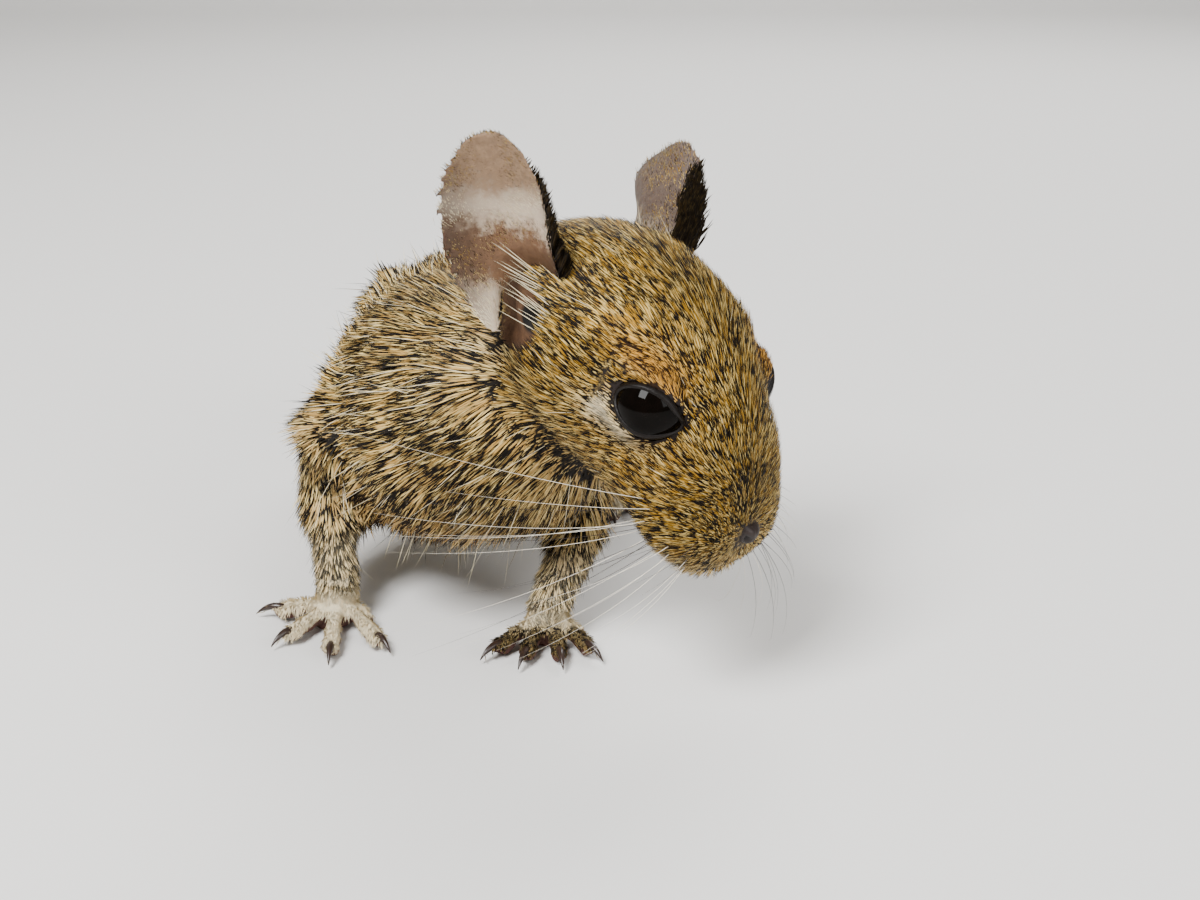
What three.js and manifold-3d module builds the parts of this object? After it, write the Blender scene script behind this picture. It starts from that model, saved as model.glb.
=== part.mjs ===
// A young degu, life size, standing with its head lowered and turned to its left.
// Millimetres, +Z up. The animal faces -Y and its left side is +X.

import * as THREE from 'three';
import { mergeVertices } from 'three/addons/utils/BufferGeometryUtils.js';
import Module from 'manifold-3d';

const wasm = await Module();
wasm.setup();

const GAP = 0.3; // space kept between two parts that touch
const LEFT = 1;
const RIGHT = -1;

// Head: where it is held, and how it is turned
const HEAD_HEIGHT = 38;
const HEAD_YAW = 47.6;
const HEAD_PITCH = 29.8;
const HEAD_ROLL = -4.8;
const HEAD_SIDES = 28;
const HEAD_RINGS = 24;

// Head sections from the back of the skull to the nose: forward, top, bottom, half width
const HEAD_SECTIONS = [
  [-15.4, 1.8, -1.6, 2.4],
  [-14.2, 4.4, -4.4, 6.2],
  [-11.0, 7.6, -8.0, 9.8],
  [-6.0, 10.4, -10.8, 11.9],
  [0.0, 11.8, -12.3, 12.5],
  [6.0, 11.4, -13.2, 12.0],
  [12.0, 9.2, -14.0, 10.6],
  [17.0, 6.0, -14.6, 9.8],
  [20.8, 2.4, -14.4, 8.9],
  [23.4, -1.2, -13.6, 7.5],
  [25.1, -4.4, -12.2, 5.4],
  [25.8, -6.8, -10.2, 2.4],
];

// Soft swellings of the head: forward, outward, up, reach, push
const HEAD_SWELLINGS = [
  [1.0, 12.0, -5.0, 6.5, 1.1],
  [9.0, 9.0, 7.6, 3.6, 0.7],
  [20.5, 8.0, -8.5, 4.0, 1.0],
  [22.5, 3.0, -13.0, 2.6, 0.5],
  [15.5, 8.6, 1.0, 3.0, -0.6],
];

// Eyes and lids, in the head's own directions (forward, outward, up)
const EYE_RADIUS = 4.1;
const EYE_PLACE = [11.2, 7.3, 1.2];
const EYE_LOOKS = [0.36, 0.9, 0.22];
const EYE_CORNERS = [0.86, -0.25, -0.42];
const LID_THICKNESS = 0.6;
const LID_OPENING = [3.6, 2.5];

// Nose and mouth
const NOSTRIL = { forward: 25.1, out: 1.5, up: -6.9, radius: 0.5, length: 1.6 };
const MOUTH_DEPTH = 1.1;
const MOUTH_HALF_HEIGHT = 0.28;
const MOUTH_LINE = [
  [16.6, 8.9, -11.6],
  [20.5, 7.9, -11.9],
  [23.6, 5.2, -11.6],
  [25.3, 0.0, -11.0],
];
const LIP_CLEFT = { forward: 25.8, top: -7.4, bottom: -11.2, half: 0.25, depth: 0.9 };

// Ears: a broad cup that stands on the side of the skull
const EAR_LENGTH = 22;
const EAR_ROOT = [-3.4, 12.3, -1.8];
const EAR_RISES = [-0.58, 0.14, 0.8];
const EAR_FACES = [0.38, 0.9, 0.12];
const EAR_HALF_WIDTH = 6.4;
const EAR_CUP = 4.2;
const EAR_SWING = 1.2; // how far its middle lies behind the line from lobe to tip
const EAR_THICKNESS = 0.9;
const EAR_RINGS = 15;
const EAR_STEPS = 9;

// Trunk and neck: x, y, z, half width, above, below
const TRUNK = [
  [-20.5, 7.5, 22.0, 5.0, 5.0, 5.0],
  [-20.4, 10.0, 22.0, 12.0, 10.5, 10.0],
  [-20.2, 17.0, 21.5, 16.8, 14.0, 14.2],
  [-19.4, 30.0, 20.5, 18.0, 15.0, 15.8],
  [-18.2, 45.0, 20.0, 18.4, 15.6, 16.0],
  [-17.2, 57.0, 19.0, 17.8, 15.8, 15.2],
  [-16.6, 67.0, 17.0, 13.4, 12.4, 12.2],
  [-16.4, 72.5, 15.5, 7.4, 7.2, 7.0],
  [-16.4, 74.0, 15.2, 3.0, 3.0, 3.0],
];
const NECK = [
  [-20.5, 27.0, 23.0, 8.0, 8.0, 8.0],
  [-20.0, 22.0, 23.5, 15.0, 15.5, 13.0],
  [-16.5, 13.0, 25.0, 15.6, 15.2, 14.0],
  [-10.5, 6.5, 28.5, 14.0, 13.2, 13.4],
  [-4.5, 3.0, 33.5, 11.0, 10.6, 10.6],
  [-1.5, 1.0, 37.5, 5.0, 5.0, 5.0],
];

// Fore limbs from the shoulder to the wrist: x, y, z, half width, before, behind
const FORE_LIMBS = {
  left: [
    [-7.0, 15.0, 23.0, 3.0, 3.0, 3.0],
    [-6.0, 14.0, 20.0, 5.4, 5.8, 6.4],
    [-4.8, 12.2, 14.5, 4.3, 4.8, 5.2],
    [-5.6, 8.4, 9.6, 3.1, 3.2, 3.4],
    [-8.0, 3.6, 5.0, 2.5, 2.3, 2.3],
    [-8.4, 2.4, 2.6, 2.3, 1.8, 1.8],
  ],
  right: [
    [-32.0, 17.0, 24.0, 3.0, 3.0, 3.0],
    [-33.0, 17.6, 21.0, 5.6, 6.0, 6.6],
    [-35.2, 17.4, 15.0, 4.4, 5.0, 5.4],
    [-34.6, 13.4, 9.8, 3.2, 3.2, 3.4],
    [-33.6, 8.6, 5.2, 2.6, 2.3, 2.3],
    [-33.5, 7.2, 2.6, 2.3, 1.8, 1.8],
  ],
};
const ELBOW_HEIGHT = 12.2;
const WRIST_HEIGHT = 5.0;
const FORE_TOE = { radius: 1.05, claw: 2.4, pad: 1.25 };
const FORE_TOES = {
  left: [
    [[-10.6, 2.0], [-14.2, -2.0]],
    [[-9.4, 1.2], [-10.8, -3.8]],
    [[-7.6, 1.2], [-6.8, -3.8]],
    [[-6.4, 2.0], [-3.4, -2.2]],
  ],
  right: [
    [[-35.6, 7.8], [-41.0, 8.2]],
    [[-34.8, 6.2], [-38.6, 1.4]],
    [[-33.4, 5.6], [-33.0, -2.6]],
    [[-31.8, 6.4], [-27.6, 0.0]],
  ],
};
const THUMBS = {
  left: [[-6.6, 3.6], [-4.6, 2.2]],
  right: [[-31.6, 7.6], [-29.6, 5.8]],
};

// Hind limbs, given for the left side as outward from the middle of the trunk, y, z and sizes
const TRUNK_MIDDLE = -17.2;
const THIGH = [
  [11.5, 69.0, 17.0, 2.5, 3.0, 3.0],
  [12.2, 66.0, 17.5, 5.4, 8.4, 8.6],
  [12.8, 56.0, 19.0, 7.2, 12.0, 11.6],
  [13.4, 45.0, 17.5, 6.2, 9.6, 9.4],
  [13.6, 38.5, 14.5, 2.4, 3.0, 3.0],
];
const SHANK = [
  [15.8, 40.0, 12.6, 2.2, 2.6, 2.6],
  [16.2, 43.5, 11.0, 3.6, 4.4, 4.4],
  [16.2, 52.0, 8.8, 3.4, 3.9, 3.6],
  [15.4, 60.0, 6.4, 2.8, 3.2, 3.0],
  [15.0, 63.0, 5.4, 1.6, 1.8, 1.8],
];
const HIND_FOOT = [
  [15.0, 64.6, 2.2, 1.2, 1.2, 1.8],
  [15.0, 62.5, 2.3, 2.8, 2.5, 3.2],
  [15.4, 54.0, 1.9, 2.9, 2.2, 3.0],
  [15.8, 46.0, 1.6, 3.4, 1.9, 2.8],
  [15.9, 43.6, 1.5, 2.4, 1.4, 2.2],
];
const HIND_TOE = { radius: 1.15, claw: 2.4, pad: 1.3 };
const HIND_TOES = [
  [[13.8, 47.0], [12.2, 40.4]],
  [[15.0, 45.6], [14.4, 38.0]],
  [[16.4, 45.6], [16.8, 38.0]],
  [[17.8, 47.0], [19.2, 40.6]],
];

// Tail, laid on the floor: x, y, z, half width, above, below
const TAIL = [
  [-16.4, 68.0, 12.0, 2.0, 2.0, 2.0],
  [-16.2, 72.0, 9.6, 3.4, 3.4, 3.4],
  [-15.8, 80.0, 5.2, 2.9, 2.9, 2.9],
  [-14.8, 88.0, 2.7, 2.6, 2.5, 2.9],
  [-12.6, 99.0, 2.1, 2.3, 2.2, 2.4],
  [-9.0, 111.0, 2.0, 2.1, 2.0, 2.2],
  [-4.0, 122.5, 2.0, 2.0, 1.9, 2.1],
  [0.4, 131.5, 2.0, 1.5, 1.4, 2.0],
  [1.8, 134.0, 2.0, 0.6, 0.6, 0.6],
];
const TAIL_CUTS = [0.44, 0.72];
const BRUSH = { locks: 26, from: 0.76, to: 0.985, length: 8.5, half: 1.15, thickness: 0.75, flare: 0.24 };
const SEED = 11;

const COLOURS = {
  coat: 0x8a7248,
  pale: 0xc9b48c,
  ear: 0x8d7768,
  eye: 0x0b0908,
  brush: 0x1c1714,
};

const UP = new THREE.Vector3(0, 0, 1);
const FORWARD = new THREE.Vector3(0, -1, 0);

function vector(values) {
  return new THREE.Vector3(values[0], values[1], values[2]);
}

// The head's own directions, turned by its yaw, pitch and roll
function headDirections() {
  const yaw = THREE.MathUtils.degToRad(HEAD_YAW);
  const pitch = THREE.MathUtils.degToRad(HEAD_PITCH);
  const forward = new THREE.Vector3(
    Math.sin(yaw) * Math.cos(pitch), -Math.cos(yaw) * Math.cos(pitch), -Math.sin(pitch));
  const out = new THREE.Vector3(Math.cos(yaw), Math.sin(yaw), 0);
  out.applyAxisAngle(forward, THREE.MathUtils.degToRad(HEAD_ROLL));
  const up = forward.clone().cross(out);
  return { forward, out, up };
}

const HEAD = headDirections();

// A direction given as forward, outward, up; side tells left from right
function headWay(values, side) {
  return HEAD.forward.clone().multiplyScalar(values[0])
    .addScaledVector(HEAD.out, values[1] * side)
    .addScaledVector(HEAD.up, values[2]);
}

function headPoint(values, side = LEFT) {
  return headWay(values, side).add(new THREE.Vector3(0, 0, HEAD_HEIGHT));
}

function signedVolume(position, index) {
  const [a, b, c] = [new THREE.Vector3(), new THREE.Vector3(), new THREE.Vector3()];
  let total = 0;
  for (let i = 0; i < index.length; i += 3) {
    a.fromBufferAttribute(position, index[i]);
    b.fromBufferAttribute(position, index[i + 1]);
    c.fromBufferAttribute(position, index[i + 2]);
    total += a.dot(b.cross(c));
  }
  return total;
}

// A closed skin through rings of points, with a middle point on each end
function skin(rings) {
  const sides = rings[0].length;
  const points = rings.flat();
  const index = [];
  for (let r = 0; r + 1 < rings.length; r += 1) {
    for (let s = 0; s < sides; s += 1) {
      const a = r * sides + s;
      const b = r * sides + (s + 1) % sides;
      index.push(a, b, b + sides, a, b + sides, a + sides);
    }
  }
  for (const last of [false, true]) {
    const ring = last ? rings[rings.length - 1] : rings[0];
    const start = last ? (rings.length - 1) * sides : 0;
    const middle = ring.reduce((sum, p) => sum.add(p), new THREE.Vector3()).divideScalar(sides);
    points.push(middle);
    for (let s = 0; s < sides; s += 1) {
      const pair = [start + s, start + (s + 1) % sides];
      index.push(points.length - 1, pair[last ? 0 : 1], pair[last ? 1 : 0]);
    }
  }
  const geometry = new THREE.BufferGeometry().setFromPoints(points);
  if (signedVolume(geometry.getAttribute('position'), index) < 0) {
    index.reverse();
  }
  geometry.setIndex(index);
  return geometry;
}

// A smooth limb, trunk or tail along stations of x, y, z, half width, above, below
function limb(stations, { rings = 16, sides = 18, up = UP, from = 0, to = 1 } = {}) {
  const path = new THREE.CatmullRomCurve3(stations.map((s) => vector(s)), false, 'centripetal');
  const sizes = new THREE.CatmullRomCurve3(stations.map((s) => vector(s.slice(3))), false, 'centripetal');
  const loops = [];
  for (let r = 0; r <= rings; r += 1) {
    const t = from + (to - from) * r / rings;
    const middle = path.getPoint(t);
    const along = path.getTangent(t);
    const side = along.clone().cross(up).normalize();
    const top = side.clone().cross(along).normalize();
    const size = sizes.getPoint(t);
    const loop = [];
    for (let s = 0; s < sides; s += 1) {
      const angle = 2 * Math.PI * s / sides;
      const rise = Math.sin(angle) > 0 ? size.y : size.z;
      loop.push(middle.clone()
        .addScaledVector(side, Math.cos(angle) * size.x)
        .addScaledVector(top, Math.sin(angle) * rise));
    }
    loops.push(loop);
  }
  return skin(loops);
}

function toSolid(geometry) {
  const bare = new THREE.BufferGeometry();
  bare.setAttribute('position', geometry.getAttribute('position').clone());
  bare.setIndex(geometry.getIndex());
  const merged = mergeVertices(bare, 1e-4);
  return new wasm.Manifold(new wasm.Mesh({
    numProp: 3,
    vertProperties: new Float32Array(merged.getAttribute('position').array),
    triVerts: new Uint32Array(merged.getIndex().array),
  }));
}

// The same shape, larger by the gap on every side
function grown(geometry, by = GAP) {
  const copy = geometry.clone();
  copy.computeVertexNormals();
  const place = copy.getAttribute('position');
  const normal = copy.getAttribute('normal');
  for (let i = 0; i < place.count; i += 1) {
    place.setXYZ(i,
      place.getX(i) + normal.getX(i) * by,
      place.getY(i) + normal.getY(i) * by,
      place.getZ(i) + normal.getZ(i) * by);
  }
  return toSolid(copy);
}

function largest(solid) {
  const pieces = solid.decompose();
  return pieces.reduce((best, piece) => (piece.volume() > best.volume() ? piece : best));
}

function join(solids) {
  return solids.reduce((sum, solid) => sum.add(solid));
}

function cut(solid, cutters) {
  return cutters.reduce((rest, cutter) => rest.subtract(cutter), solid);
}

function toGeometry(solid) {
  const mesh = solid.getMesh();
  const geometry = new THREE.BufferGeometry();
  geometry.setAttribute('position', new THREE.BufferAttribute(new Float32Array(mesh.vertProperties), 3));
  geometry.setIndex(new THREE.BufferAttribute(new Uint32Array(mesh.triVerts), 1));
  geometry.computeVertexNormals();
  return geometry;
}

const model = new THREE.Group();

function addNode(name, solid, colour, roughness = 0.8) {
  const rests = largest(solid.trimByPlane([0, 0, 1], 0));
  const mesh = new THREE.Mesh(
    toGeometry(rests),
    new THREE.MeshStandardMaterial({ color: colour, roughness, metalness: 0 }));
  mesh.name = name;
  model.add(mesh);
}

// Head
function headShape() {
  const path = new THREE.CatmullRomCurve3(
    HEAD_SECTIONS.map(([forward, top, bottom]) => new THREE.Vector3(forward, (top + bottom) / 2, 0)));
  const sizes = new THREE.CatmullRomCurve3(
    HEAD_SECTIONS.map(([, top, bottom, half]) => new THREE.Vector3(half, (top - bottom) / 2, 0)));
  const rings = [];
  for (let r = 0; r <= HEAD_RINGS; r += 1) {
    const t = r / HEAD_RINGS;
    const middle = path.getPoint(t);
    const size = sizes.getPoint(t);
    const ring = [];
    for (let s = 0; s < HEAD_SIDES; s += 1) {
      const angle = 2 * Math.PI * s / HEAD_SIDES;
      const local = new THREE.Vector3(
        middle.x, Math.cos(angle) * size.x, middle.y + Math.sin(angle) * size.y);
      ring.push(swollen(local));
    }
    rings.push(ring);
  }
  return skin(rings);
}

// Moves a point of the head out from the middle line by the swellings near it
function swollen(local) {
  const outward = new THREE.Vector3(0, local.y, local.z).normalize();
  let push = 0;
  for (const [forward, out, up, reach, amount] of HEAD_SWELLINGS) {
    const distance = Math.hypot(local.x - forward, Math.abs(local.y) - out, local.z - up);
    push += amount * Math.exp(-((distance / reach) ** 2));
  }
  local.addScaledVector(outward, push);
  return headPoint([local.x, local.y, local.z]);
}

function eyeBall(side, radius) {
  const ball = new THREE.SphereGeometry(radius, 18, 12);
  const centre = headPoint(EYE_PLACE, side);
  ball.translate(centre.x, centre.y, centre.z);
  return ball;
}

// The almond opening between the lids, cut straight out from the middle of the eye
function lidOpening(side) {
  const looks = headWay(EYE_LOOKS, side).normalize();
  const corners = headWay(EYE_CORNERS, side);
  corners.addScaledVector(looks, -corners.dot(looks)).normalize();
  const height = looks.clone().cross(corners);
  const centre = headPoint(EYE_PLACE, side);
  const rings = [1, EYE_RADIUS + 3].map((depth) => {
    const ring = [];
    for (let s = 0; s < 20; s += 1) {
      const angle = 2 * Math.PI * s / 20;
      const rise = Math.sin(angle) * Math.abs(Math.sin(angle)) ** 0.3;
      ring.push(centre.clone()
        .addScaledVector(looks, depth)
        .addScaledVector(corners, Math.cos(angle) * LID_OPENING[0])
        .addScaledVector(height, rise * LID_OPENING[1]));
    }
    return ring;
  });
  return skin(rings);
}

// A flat blade along points, used to press the mouth line and the cleft of the lip
function blade(points, half, depth, up) {
  const stations = points.map((p) => [p.x, p.y, p.z, depth, half, half]);
  return limb(stations, { rings: 18, sides: 8, up });
}

function mouthCut() {
  const leftSide = MOUTH_LINE.map((p) => headPoint(p, LEFT));
  const rightSide = MOUTH_LINE.slice(0, -1).map((p) => headPoint(p, RIGHT));
  const points = leftSide.concat(rightSide.reverse());
  return blade(points, MOUTH_HALF_HEIGHT, MOUTH_DEPTH, HEAD.up);
}

function lipCleft() {
  const { forward, top, bottom, half, depth } = LIP_CLEFT;
  const points = [top, (top + bottom) / 2, bottom].map((up) => headPoint([forward, 0, up]));
  return blade(points, half, depth, HEAD.out);
}

function nostril(side) {
  const { forward, out, up, radius, length } = NOSTRIL;
  const stations = [
    [forward - 0.6, out * 0.6, up - length * 0.35],
    [forward, out, up],
    [forward - 0.7, out + length * 0.6, up + length * 0.3],
  ].map((p) => headPoint(p, side)).map((p) => [p.x, p.y, p.z, radius, radius, radius]);
  return limb(stations, { rings: 5, sides: 8 });
}

// Ears
function earShape(side) {
  const rises = headWay(EAR_RISES, side).normalize();
  const faces = headWay(EAR_FACES, side);
  faces.addScaledVector(rises, -faces.dot(rises)).normalize();
  const front = rises.clone().cross(faces).multiplyScalar(-side);
  const root = headPoint(EAR_ROOT, side);
  const rings = [];
  for (let r = 0; r <= EAR_RINGS; r += 1) {
    const t = r / EAR_RINGS;
    const along = 0.5 - 0.5 * Math.cos(Math.PI * (0.05 + 0.9 * t));
    const half = EAR_HALF_WIDTH * earOutline(along);
    const cup = EAR_CUP * (1 - along) ** 0.8 * earOutline(along) + 0.5;
    const lean = 1.6 * (along - 0.3) ** 2;
    const ring = [];
    for (let s = 0; s < 2 * EAR_STEPS; s += 1) {
      const inner = s < EAR_STEPS;
      const across = inner ? 1 - 2 * s / EAR_STEPS : 2 * (s - EAR_STEPS) / EAR_STEPS - 1;
      const body = EAR_THICKNESS * (0.25 + 0.75 * (1 - across * across));
      const depth = -cup * (1 - across * across) + (inner ? 0 : -body);
      ring.push(root.clone()
        .addScaledVector(rises, along * EAR_LENGTH)
        .addScaledVector(front, across * half - EAR_SWING * Math.sin(Math.PI * along))
        .addScaledVector(faces, depth + lean));
    }
    rings.push(ring);
  }
  return skin(rings);
}

// Half width of the ear from its lobe to its round tip, as a share of the widest
function earOutline(along) {
  return (1 - Math.abs(2 * along - 1) ** 2.3) ** 0.5;
}

// Feet
function toe(start, end, { radius, claw, pad }, lift = radius) {
  const [x0, y0] = start;
  const [x1, y1] = end;
  const run = Math.hypot(x1 - x0, y1 - y0);
  const way = [(x1 - x0) / run, (y1 - y0) / run];
  const finger = limb([
    [x0, y0, lift + 0.8, radius * 0.9, radius * 0.9, radius * 0.9],
    [x0 + way[0] * run * 0.5, y0 + way[1] * run * 0.5, lift + 0.5, radius, radius, radius],
    [x1 - way[0] * 0.9, y1 - way[1] * 0.9, lift, pad, radius, pad],
    [x1 + way[0] * 0.3, y1 + way[1] * 0.3, lift, radius * 0.45, radius * 0.4, radius * 0.4],
  ], { rings: 4, sides: 6 });
  const nail = limb([
    [x1 - way[0] * 1.4, y1 - way[1] * 1.4, lift + 0.35, 0.5, 0.5, 0.5],
    [x1 + way[0] * claw * 0.4, y1 + way[1] * claw * 0.4, lift + 0.35, 0.42, 0.5, 0.42],
    [x1 + way[0] * claw, y1 + way[1] * claw, lift - 0.55, 0.12, 0.12, 0.12],
  ], { rings: 2, sides: 5 });
  return toSolid(finger).add(toSolid(nail));
}

function foreFoot(name) {
  const wrist = FORE_LIMBS[name].at(-1);
  const toes = FORE_TOES[name];
  const middle = [1, 2].map((i) => toes[i][0]);
  const front = [(middle[0][0] + middle[1][0]) / 2, (middle[0][1] + middle[1][1]) / 2];
  const palm = limb([
    [wrist[0], wrist[1] + 1.6, 2.2, 1.4, 1.4, 2.4],
    [wrist[0], wrist[1] + 0.6, 2.2, 2.4, 2.2, 2.6],
    [front[0], front[1] + 0.6, 1.7, 3.2, 1.7, 2.2],
    [front[0], front[1] - 1.0, 1.4, 2.0, 1.2, 1.8],
  ], { rings: 5, sides: 10 });
  const digits = toes.map(([start, end]) => toe(start, end, FORE_TOE));
  const thumb = toe(...THUMBS[name], { radius: 0.75, claw: 0.7, pad: 0.8 }, 1.2);
  return join([toSolid(palm), thumb, ...digits]);
}

function addForeLimb(name, obstacles) {
  const arm = limb(FORE_LIMBS[name], { rings: 12, sides: 14, up: FORWARD });
  const whole = cut(toSolid(arm).add(foreFoot(name)), obstacles);
  const upper = whole.trimByPlane([0, 0, 1], ELBOW_HEIGHT + GAP / 2);
  const below = whole.trimByPlane([0, 0, -1], -ELBOW_HEIGHT + GAP / 2);
  const lower = below.trimByPlane([0, 0, 1], WRIST_HEIGHT + GAP / 2);
  const foot = below.trimByPlane([0, 0, -1], -WRIST_HEIGHT + GAP / 2);
  addNode(`upper_arm_${name}`, upper, COLOURS.coat);
  addNode(`forearm_${name}`, lower, COLOURS.pale);
  addNode(`forefoot_${name}`, foot, COLOURS.pale);
}

// Hind limbs are alike on both sides
function placed(stations, side) {
  return stations.map(([out, ...rest]) => [TRUNK_MIDDLE + out * side, ...rest]);
}

function addHindLimb(name, side, obstacles) {
  const thigh = limb(placed(THIGH, side), { rings: 12, sides: 16 });
  const shank = limb(placed(SHANK, side), { rings: 10, sides: 12 });
  const sole = limb(placed(HIND_FOOT, side), { rings: 9, sides: 12 });
  const toes = placed(HIND_TOES.map(([start]) => start), side).map((start, i) => {
    const end = HIND_TOES[i][1];
    return toe(start, [TRUNK_MIDDLE + end[0] * side, end[1]], HIND_TOE);
  });
  addNode(`thigh_${name}`, cut(toSolid(thigh), obstacles), COLOURS.coat);
  addNode(`shank_${name}`, cut(toSolid(shank), [...obstacles, grown(thigh)]), COLOURS.coat);
  const foot = join([toSolid(sole), ...toes]);
  addNode(`hindfoot_${name}`, cut(foot, [...obstacles, grown(thigh), grown(shank)]), COLOURS.pale);
}

// Tail with its black brush
function seededDraw(seed) {
  let state = seed;
  return () => {
    state = (state * 16807) % 2147483647;
    return state / 2147483647;
  };
}

function brushLock(path, t, angle, length, draw) {
  const root = path.getPoint(t);
  const along = path.getTangent(t);
  const side = along.clone().cross(UP).normalize();
  const top = side.clone().cross(along).normalize();
  const out = side.clone().multiplyScalar(Math.cos(angle)).addScaledVector(top, Math.sin(angle));
  const stations = [0, 0.35, 0.7, 1].map((share) => {
    const place = root.clone()
      .addScaledVector(along, share * length)
      .addScaledVector(out, 0.7 + BRUSH.flare * length * share * (1 - 0.35 * share));
    place.z = Math.max(place.z - 0.5 * share, BRUSH.thickness + 0.15);
    const taper = [0.75, 1, 0.75, 0.16][Math.round(share * 3)];
    const thin = BRUSH.thickness * taper;
    return [place.x, place.y, place.z, BRUSH.half * taper * (0.85 + 0.3 * draw()), thin, thin];
  });
  return toSolid(limb(stations, { rings: 3, sides: 4, up: out }));
}

function addTail(obstacles) {
  const path = new THREE.CatmullRomCurve3(TAIL.map((s) => vector(s)), false, 'centripetal');
  const whole = cut(toSolid(limb(TAIL, { rings: 30, sides: 10 })), obstacles);
  const draw = seededDraw(SEED);
  const locks = [];
  for (let i = 0; i < BRUSH.locks; i += 1) {
    const t = BRUSH.from + (BRUSH.to - BRUSH.from) * i / (BRUSH.locks - 1);
    const angle = i * 2.39996 + 0.4 * draw();
    const length = BRUSH.length * (0.8 + 0.4 * draw());
    locks.push(brushLock(path, t, angle, length, draw));
  }
  const planes = TAIL_CUTS.map((t) => {
    const normal = path.getTangent(t);
    return { normal: normal.toArray(), offset: normal.dot(path.getPoint(t)) };
  });
  const ahead = ({ normal, offset }) => [normal.map((n) => -n), -offset + GAP / 2];
  const behind = ({ normal, offset }) => [normal, offset + GAP / 2];
  const base = whole.trimByPlane(...ahead(planes[0]));
  const middle = whole.trimByPlane(...behind(planes[0])).trimByPlane(...ahead(planes[1]));
  const tip = join([whole, ...locks]).trimByPlane(...behind(planes[1]));
  addNode('tail_base', base, COLOURS.coat);
  addNode('tail_middle', middle, COLOURS.coat);
  addNode('tail_tip', tip, COLOURS.brush);
}

// Whole animal, part by part
const headForm = headShape();
const trunkForm = limb(TRUNK, { rings: 22, sides: 24 });
const neckForm = limb(NECK, { rings: 13, sides: 20 });

const sides = [['left', LEFT], ['right', RIGHT]];
const lids = sides.map(([, side]) => toSolid(eyeBall(side, EYE_RADIUS + GAP + LID_THICKNESS)));
const sockets = sides.map(([, side]) => toSolid(eyeBall(side, EYE_RADIUS + GAP)));
const openings = sides.map(([, side]) => toSolid(lidOpening(side)));
const creases = [mouthCut(), lipCleft(), nostril(LEFT), nostril(RIGHT)].map(toSolid);

addNode('head', cut(join([toSolid(headForm), ...lids]), [...sockets, ...openings, ...creases]), COLOURS.coat);
addNode('torso', toSolid(trunkForm), COLOURS.coat);
addNode('neck', cut(toSolid(neckForm), [grown(headForm), grown(trunkForm)]), COLOURS.coat);

const core = [grown(trunkForm), grown(neckForm), grown(headForm)];
for (const [name, side] of sides) {
  addNode(`eye_${name}`, toSolid(eyeBall(side, EYE_RADIUS)), COLOURS.eye, 0.08);
  addNode(`ear_${name}`, cut(toSolid(earShape(side)), [grown(headForm), grown(neckForm)]), COLOURS.ear);
  addForeLimb(name, core);
  addHindLimb(name, side, core);
}
addTail(core);

// The origin stands on the floor under the middle of the whole animal
const box = new THREE.Box3().setFromObject(model);
const middle = box.getCenter(new THREE.Vector3());
model.position.set(-middle.x, -middle.y, -box.min.z);
model.updateMatrixWorld(true);

export default model;
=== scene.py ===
"""A young degu, life size: skin, coat, ears, eyes, claws and whiskers on a plain pale floor."""

import math

import bpy
import numpy as np
from mathutils import Matrix, Vector
from mathutils.kdtree import KDTree


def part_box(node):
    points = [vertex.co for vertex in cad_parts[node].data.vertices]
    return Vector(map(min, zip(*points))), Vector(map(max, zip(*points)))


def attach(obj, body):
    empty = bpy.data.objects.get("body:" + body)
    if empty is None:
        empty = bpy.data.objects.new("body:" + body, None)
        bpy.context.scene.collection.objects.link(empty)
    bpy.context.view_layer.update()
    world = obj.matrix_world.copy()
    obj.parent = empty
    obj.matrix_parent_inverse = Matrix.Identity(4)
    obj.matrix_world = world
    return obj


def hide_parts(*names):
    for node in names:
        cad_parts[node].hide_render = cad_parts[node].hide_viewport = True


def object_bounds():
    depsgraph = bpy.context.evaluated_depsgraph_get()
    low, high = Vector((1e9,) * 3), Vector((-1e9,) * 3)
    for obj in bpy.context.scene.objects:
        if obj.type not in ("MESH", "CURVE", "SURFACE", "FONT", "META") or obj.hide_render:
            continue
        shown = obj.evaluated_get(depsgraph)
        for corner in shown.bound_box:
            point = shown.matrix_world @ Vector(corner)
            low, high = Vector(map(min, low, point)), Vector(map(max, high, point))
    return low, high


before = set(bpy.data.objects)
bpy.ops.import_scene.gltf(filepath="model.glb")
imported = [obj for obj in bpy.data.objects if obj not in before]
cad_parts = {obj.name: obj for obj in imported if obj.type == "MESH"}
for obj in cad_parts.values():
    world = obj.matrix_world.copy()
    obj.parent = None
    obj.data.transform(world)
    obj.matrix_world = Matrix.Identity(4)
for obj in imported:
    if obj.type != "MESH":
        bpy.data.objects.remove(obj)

bl_info = {
    "name": "Young degu",
    "version": (1, 0, 0),
    "blender": (4, 5, 0),
    "location": "View3D > Sidebar > Degu",
    "description": "Builds the skin, coat, eyes, claws and whiskers of a young degu",
    "category": "Object",
}

CAD_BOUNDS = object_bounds()
MM = 0.001
LEFT = 1
RIGHT = -1
SIDES = {"left": LEFT, "right": RIGHT}

# The head is turned to its left, lowered, and tipped a little
HEAD_YAW = math.radians(47.6)
HEAD_PITCH = math.radians(29.8)
HEAD_ROLL = math.radians(-4.8)
HEAD_HEIGHT = 38.0

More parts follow.
